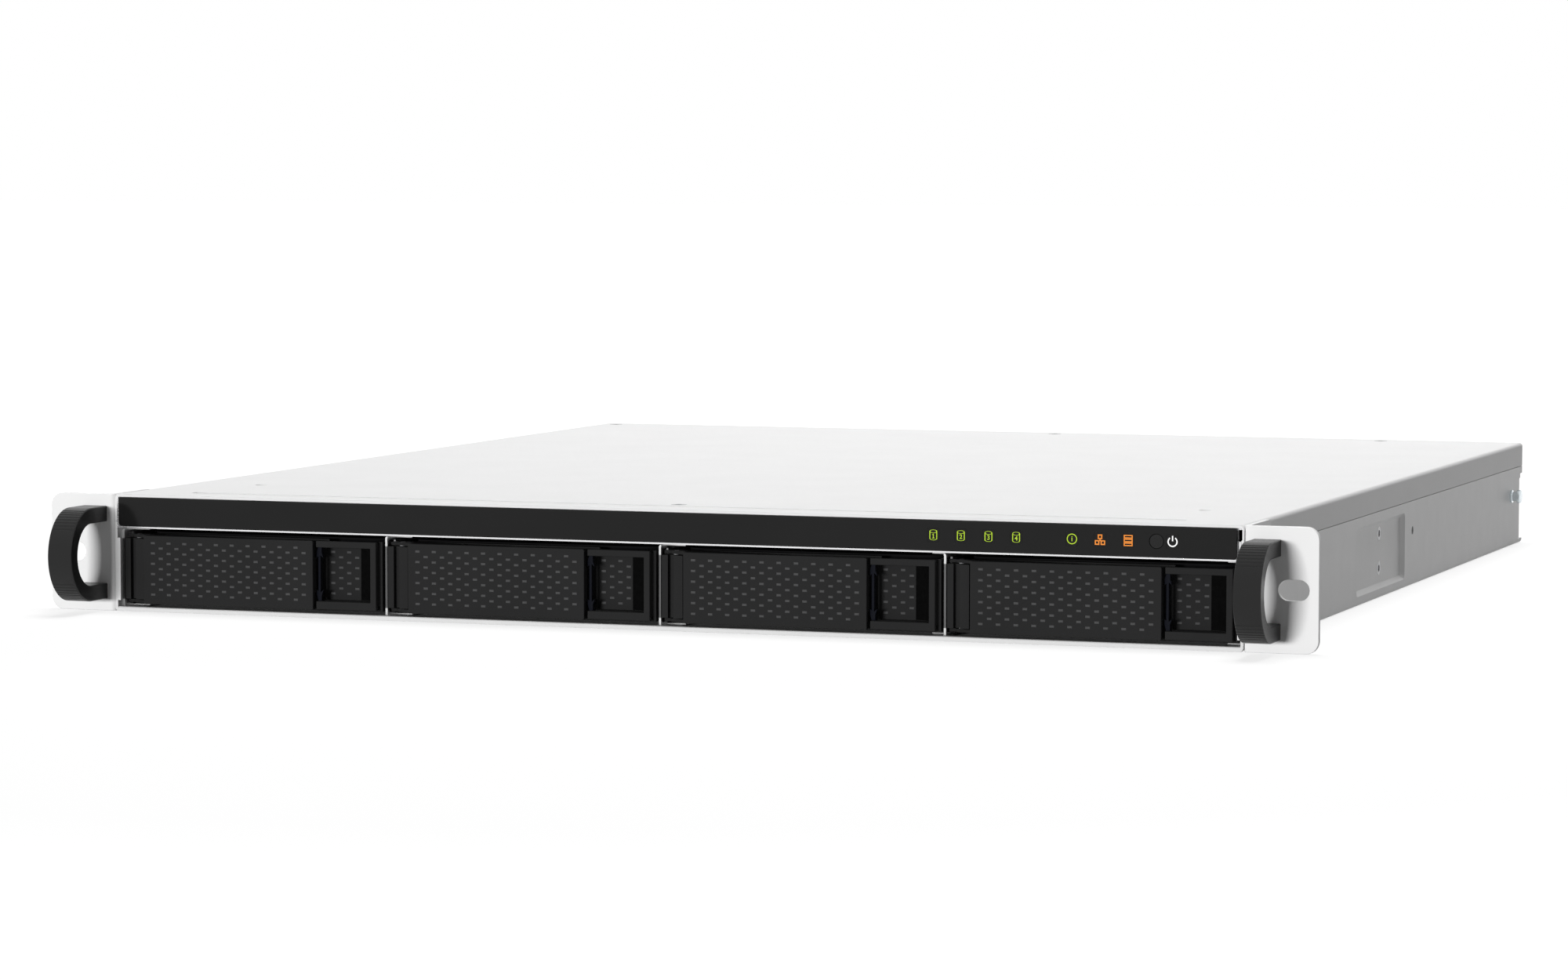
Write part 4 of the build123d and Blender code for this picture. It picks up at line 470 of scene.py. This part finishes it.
SYMBOL_THICK = 0.06 * MM
SYMBOL_LINE = 0.33 * MM
SYMBOL_PITCH = 10.05 * MM
WINDOW_WIDTH = 4.4 * MM
BAR_THICK = 0.8 * SYMBOL_THICK
FONT_SIZE_PER_HEIGHT = 1.45

# In the millimetres in which a letter is drawn
LETTER_GROWTH = 0.03
LETTER_SEAM = 0.002

low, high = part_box("indicator_windows")
symbol_front = low.y
symbol_height = (low.z + high.z) / 2
first_symbol = low.x + WINDOW_WIDTH / 2
button_symbol = high.x - WINDOW_WIDTH / 2


def band(shape, radius, width, start, sweep, steps, squeeze=1.0, lift=0.0):
    """A curved band round the origin, squeezed in height if asked."""
    inner = shape.verts.new((cos(start) * (radius - width), sin(start) * (radius - width), 0))
    outer = shape.verts.new((cos(start) * radius, sin(start) * radius, 0))
    edge = shape.edges.new((inner, outer))
    closed = abs(sweep - 2 * pi) < 0.01
    older_verts = set(shape.verts) - {inner, outer}
    older_faces = set(shape.faces)
    bmesh.ops.spin(
        shape, geom=[inner, outer, edge], cent=(0, 0, 0), axis=(0, 0, 1), angle=sweep,
        steps=steps, use_merge=closed, use_duplicate=False,
    )
    made = [vert for vert in shape.verts if vert not in older_verts]
    bmesh.ops.scale(shape, vec=(1, squeeze, 1), verts=made)
    bmesh.ops.translate(shape, vec=(0, lift, 0), verts=made)
    thicken(shape, [face for face in shape.faces if face not in older_faces], SYMBOL_THICK)


def bar(shape, x_from, x_to, y_from, y_to):
    """A rectangle between two corners, a little lower than the bands that it may cross."""
    made = rectangle(shape, x_to - x_from, y_to - y_from)
    bmesh.ops.translate(shape, vec=((x_from + x_to) / 2, (y_from + y_to) / 2, 0), verts=made)
    thicken(shape, faces_of(made), BAR_THICK)


def open_box(shape, x_from, x_to, y_from, y_to, line):
    """A rectangle drawn with four lines."""
    bar(shape, x_from, x_to, y_to - line, y_to)
    bar(shape, x_from, x_to, y_from, y_from + line)
    bar(shape, x_from, x_from + line, y_from + line, y_to - line)
    bar(shape, x_to - line, x_to, y_from + line, y_to - line)


def letter(text, height, lift=0.0):
    """A letter or digit as a thin mesh over the origin, drawn in millimetres and then shrunk."""
    drawn = bpy.data.curves.new("letter", "FONT")
    drawn.body = text
    drawn.size = height / MM * FONT_SIZE_PER_HEIGHT
    drawn.align_x = "CENTER"
    drawn.align_y = "CENTER"
    drawn.offset = LETTER_GROWTH
    drawn.extrude = SYMBOL_THICK / MM / 2
    carrier = bpy.data.objects.new("letter", drawn)
    bpy.context.scene.collection.objects.link(carrier)
    bpy.context.view_layer.update()
    mesh = bpy.data.meshes.new_from_object(carrier.evaluated_get(bpy.context.evaluated_depsgraph_get()))
    bpy.data.objects.remove(carrier)
    sewn = bmesh.new()
    sewn.from_mesh(mesh)
    bmesh.ops.remove_doubles(sewn, verts=sewn.verts, dist=LETTER_SEAM)
    bmesh.ops.recalc_face_normals(sewn, faces=sewn.faces)
    sewn.to_mesh(mesh)
    sewn.free()
    mesh.transform(Matrix.Translation((0, lift, SYMBOL_THICK / 2)) @ Matrix.Scale(MM, 4))
    return mesh


def stand_symbol(name, shape, x, glow):
    """Put a symbol drawn round the origin on the window at x."""
    set_on_front(shape, x, symbol_front, symbol_height)
    place_piece(name, shape, "chassis", glow)


def window_middle(place):
    return first_symbol + place * SYMBOL_PITCH


STATUS_PLACE = 5
NETWORK_PLACE = 6
EXPANSION_PLACE = 7


# Drives: a can with the bay's number

CAN_RADIUS = 1.42 * MM
CAN_SQUEEZE = 0.42
CAN_STEPS = 28
CAN_HALF_HEIGHT = 1.25 * MM
CAN_DIGIT = 1.55 * MM
CAN_DIGIT_LIFT = -0.45 * MM

# Two strokes that the font's digit 1 lacks: left, right, bottom and top
ONE_FLAG = (-0.4 * MM, 0, 0.02 * MM, 0.26 * MM)
ONE_FOOT = (-0.42 * MM, 0.42 * MM, -1.24 * MM, -1.0 * MM)

for number in TRAYS:
    can = bmesh.new()
    band(can, CAN_RADIUS, SYMBOL_LINE, 0, 2 * pi, CAN_STEPS, CAN_SQUEEZE, CAN_HALF_HEIGHT)
    band(can, CAN_RADIUS, SYMBOL_LINE, pi, pi, CAN_STEPS // 2, CAN_SQUEEZE, -CAN_HALF_HEIGHT)
    bar(can, -CAN_RADIUS, -CAN_RADIUS + SYMBOL_LINE, -CAN_HALF_HEIGHT, CAN_HALF_HEIGHT)
    bar(can, CAN_RADIUS - SYMBOL_LINE, CAN_RADIUS, -CAN_HALF_HEIGHT, CAN_HALF_HEIGHT)
    can.from_mesh(letter(str(number), CAN_DIGIT, CAN_DIGIT_LIFT))
    if number == 1:
        bar(can, *ONE_FLAG)
        bar(can, *ONE_FOOT)
    stand_symbol(f"drive_{number}_symbol", can, window_middle(number - 1), ready_green)


# Status: a ringed i

RING_RADIUS = 1.85 * MM
RING_LETTER = 1.8 * MM
RING_STEPS = 36

info = bmesh.new()
band(info, RING_RADIUS, SYMBOL_LINE, 0, 2 * pi, RING_STEPS)
info.from_mesh(letter("i", RING_LETTER))
stand_symbol("status_symbol", info, window_middle(STATUS_PLACE), ready_green)


# Network: one box over two, joined by a stem

NETWORK_LINE = 0.42 * MM
NETWORK_BOX = 1.64 * MM
NETWORK_GAP = 0.44 * MM
NETWORK_FOOT = -1.8 * MM
NETWORK_HEAD = 0.2 * MM
STEM_HALF = 0.2 * MM
STEM_FOOT = -0.5 * MM

network = bmesh.new()
box_half = NETWORK_BOX / 2
open_box(network, -box_half, box_half, NETWORK_HEAD, NETWORK_HEAD + NETWORK_BOX, NETWORK_LINE)
for left in (-NETWORK_GAP / 2 - NETWORK_BOX, NETWORK_GAP / 2):
    open_box(network, left, left + NETWORK_BOX, NETWORK_FOOT, NETWORK_FOOT + NETWORK_BOX, NETWORK_LINE)
bar(network, -STEM_HALF, STEM_HALF, STEM_FOOT, NETWORK_HEAD)
stand_symbol("network_symbol", network, window_middle(NETWORK_PLACE), link_orange)


# Expansion: three flat boxes in a stack

EXPANSION_HALF_WIDTH = 1.6 * MM
EXPANSION_HALF_HEIGHT = 0.62 * MM
EXPANSION_PITCH = 1.32 * MM
EXPANSION_LINE = 0.38 * MM

expansion = bmesh.new()
for row in (-1, 0, 1):
    middle = row * EXPANSION_PITCH
    open_box(
        expansion, -EXPANSION_HALF_WIDTH, EXPANSION_HALF_WIDTH, middle - EXPANSION_HALF_HEIGHT,
        middle + EXPANSION_HALF_HEIGHT, EXPANSION_LINE,
    )
stand_symbol("expansion_symbol", expansion, window_middle(EXPANSION_PLACE), link_orange)


# Power: an open ring and a stroke beside the button

POWER_RADIUS = 1.8 * MM
POWER_LINE = 0.45 * MM
POWER_OPENING = 0.62
POWER_STEPS = 30
STROKE_HALF = 0.23 * MM
STROKE_FOOT = 0.2 * MM
STROKE_HEAD = 2.05 * MM

power = bmesh.new()
band(power, POWER_RADIUS, POWER_LINE, pi / 2 + POWER_OPENING, 2 * (pi - POWER_OPENING), POWER_STEPS)
bar(power, -STROKE_HALF, STROKE_HALF, STROKE_FOOT, STROKE_HEAD)
stand_symbol("power_symbol", power, button_symbol, symbol_white)


# Spring contacts in the network sockets

JACKS = 2
JACK_WIDTH = 16.0 * MM
JACK_CONTACTS = 8
CONTACT_PITCH = 1.02 * MM
CONTACT_SIZE = (0.45 * MM, 9.0 * MM, 0.35 * MM)
CONTACT_SLOPE = radians(-12)
CONTACT_INSET = 7.5 * MM
CONTACT_DROP = 3.5 * MM

low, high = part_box("network_sockets")
contacts = bmesh.new()
for jack in range(JACKS):
    centre = low.x + JACK_WIDTH * (jack + 0.5)
    for step in range(JACK_CONTACTS):
        x = centre + (step - (JACK_CONTACTS - 1) / 2) * CONTACT_PITCH
        slope = Matrix.Rotation(CONTACT_SLOPE, 3, "X")
        made = bmesh.ops.create_cube(contacts, size=1.0)["verts"]
        bmesh.ops.scale(contacts, vec=CONTACT_SIZE, verts=made)
        bmesh.ops.rotate(contacts, cent=(0, 0, 0), matrix=slope, verts=made)
        bmesh.ops.translate(
            contacts, vec=(x, high.y - CONTACT_INSET, high.z - CONTACT_DROP), verts=made,
        )
place_piece("network_contacts", contacts, "chassis", contact_gold)


# Tongues in the USB sockets

TONGUE_SIZE = (10.8 * MM, 10.6 * MM, 2.0 * MM)
TONGUE_RISE = 3.77 * MM
TONGUE_INSET = 0.4 * MM
TONGUE_BEVEL = 0.3 * MM
USB_STACK_WIDTH = 14.6 * MM
MOUTH_HEIGHT = 5.2 * MM
MOUTHS_HIGH = 2

low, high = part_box("usb_sockets")
between_mouths = (high.z - low.z - MOUTHS_HIGH * MOUTH_HEIGHT) / (MOUTHS_HIGH + 1)
middle = high.y - TONGUE_INSET - TONGUE_SIZE[1] / 2
tongues = bmesh.new()
for centre in (low.x + USB_STACK_WIDTH / 2, high.x - USB_STACK_WIDTH / 2):
    for row in range(MOUTHS_HIGH):
        mouth_low = low.z + between_mouths + row * (MOUTH_HEIGHT + between_mouths)
        made = bmesh.ops.create_cube(tongues, size=1.0)["verts"]
        bmesh.ops.scale(tongues, vec=TONGUE_SIZE, verts=made)
        bmesh.ops.translate(tongues, vec=(centre, middle, mouth_low + TONGUE_RISE), verts=made)
bmesh.ops.bevel(
    tongues, geom=list(tongues.edges), offset=TONGUE_BEVEL, segments=2, profile=0.5, affect="EDGES",
    material=-1,
)
place_piece("usb_tongues", tongues, "chassis", tongue_blue)


# White floor that shows as the backdrop and keeps the part's shadow

FLOOR_REACH = 12.0
FLOOR_COLOUR = 0.25
FLOOR_NEAR = 0.5
FLOOR_FAR = 1.3
GLOW_NEAR = 0.79
GLOW_FAR = 1.0

floor_shape = bmesh.new()
floor_mesh = bpy.data.meshes.new("floor")
bmesh.ops.create_grid(floor_shape, x_segments=1, y_segments=1, size=FLOOR_REACH)
bmesh.ops.translate(floor_shape, vec=(0, 0, cad_box[0].z), verts=floor_shape.verts)
floor_shape.to_mesh(floor_mesh)
floor_shape.free()
floor = bpy.data.objects.new("floor", floor_mesh)
bpy.context.scene.collection.objects.link(floor)

floor_white, tree, shader = new_material("floor_white")
shader.inputs["Base Color"].default_value = [*grey(FLOOR_COLOUR), 1]
shader.inputs["Roughness"].default_value = 0.9
shader.inputs["Specular IOR Level"].default_value = 0.0
shader.inputs["Emission Color"].default_value = (1, 1, 1, 1)
distance = add_node(tree, "ShaderNodeVectorMath", operation="LENGTH")
tree.links.new(object_place(tree), distance.inputs[0])
glow = spread(tree, distance.outputs["Value"], GLOW_NEAR, GLOW_FAR, FLOOR_NEAR, FLOOR_FAR)
shown_glow = combine(tree, "MULTIPLY", seen_by(tree, "Camera", "Glossy"), glow)
tree.links.new(shown_glow, shader.inputs["Emission Strength"])
floor_mesh.materials.append(floor_white)


# White surroundings that light the part only a little

FILL_LEVEL = 0.09
BACKDROP_LEVEL = 1.0

world = bpy.data.worlds.new("studio")
world.use_nodes = True
bpy.context.scene.world = world
sky = world.node_tree
background = sky.nodes["Background"]
background.inputs["Color"].default_value = (1, 1, 1, 1)
shown = seen_by(sky, "Camera", "Glossy", "Transmission")
level = spread(sky, shown, FILL_LEVEL, BACKDROP_LEVEL, 0, 1)
sky.links.new(level, background.inputs["Strength"])


# Soft lamps


def soft_lamp(name, place, target, size, power):
    lamp = bpy.data.lights.new(name, "AREA")
    lamp.shape = "RECTANGLE"
    lamp.size, lamp.size_y = size
    lamp.energy = power
    holder = bpy.data.objects.new(name, lamp)
    holder.location = place
    holder.rotation_mode = "QUATERNION"
    holder.rotation_quaternion = (Vector(target) - Vector(place)).to_track_quat("-Z", "Y")
    holder.visible_glossy = False
    bpy.context.scene.collection.objects.link(holder)


soft_lamp("key", place=(-2.0, -9.8, 0.6), target=(0, 0, 0), size=(2.6, 1.1), power=915)
soft_lamp("top", place=(0.1, 0.6, 2.8), target=(0.1, 0.25, 0), size=(1.3, 1.3), power=65)
soft_lamp("rear", place=(-1.0, 4.2, 0.9), target=(0, 0.4, 0), size=(1.4, 0.8), power=50)


# Camera, where the rack ears and the body's edges put it in the photo

CAMERA_PLACE = (0.61926, -1.60041, 0.15030)
CAMERA_RIGHT = Vector((0.94186, 0.33601, 0.00095))
CAMERA_UP = Vector((-0.02468, 0.06635, 0.99749))
FOCAL_LENGTH = 110.99
SENSOR_WIDTH = 36

camera_data = bpy.data.cameras.new("camera")
camera_data.sensor_width = SENSOR_WIDTH
camera_data.lens = FOCAL_LENGTH
camera_data.clip_start = 0.05
camera_data.clip_end = 50
camera = bpy.data.objects.new("camera", camera_data)
axes = Matrix((CAMERA_RIGHT, CAMERA_UP, CAMERA_RIGHT.cross(CAMERA_UP))).transposed()
camera.matrix_world = Matrix.Translation(CAMERA_PLACE) @ axes.to_4x4()
bpy.context.scene.collection.objects.link(camera)
bpy.context.scene.camera = camera

bpy.context.scene.view_settings.view_transform = "Standard"
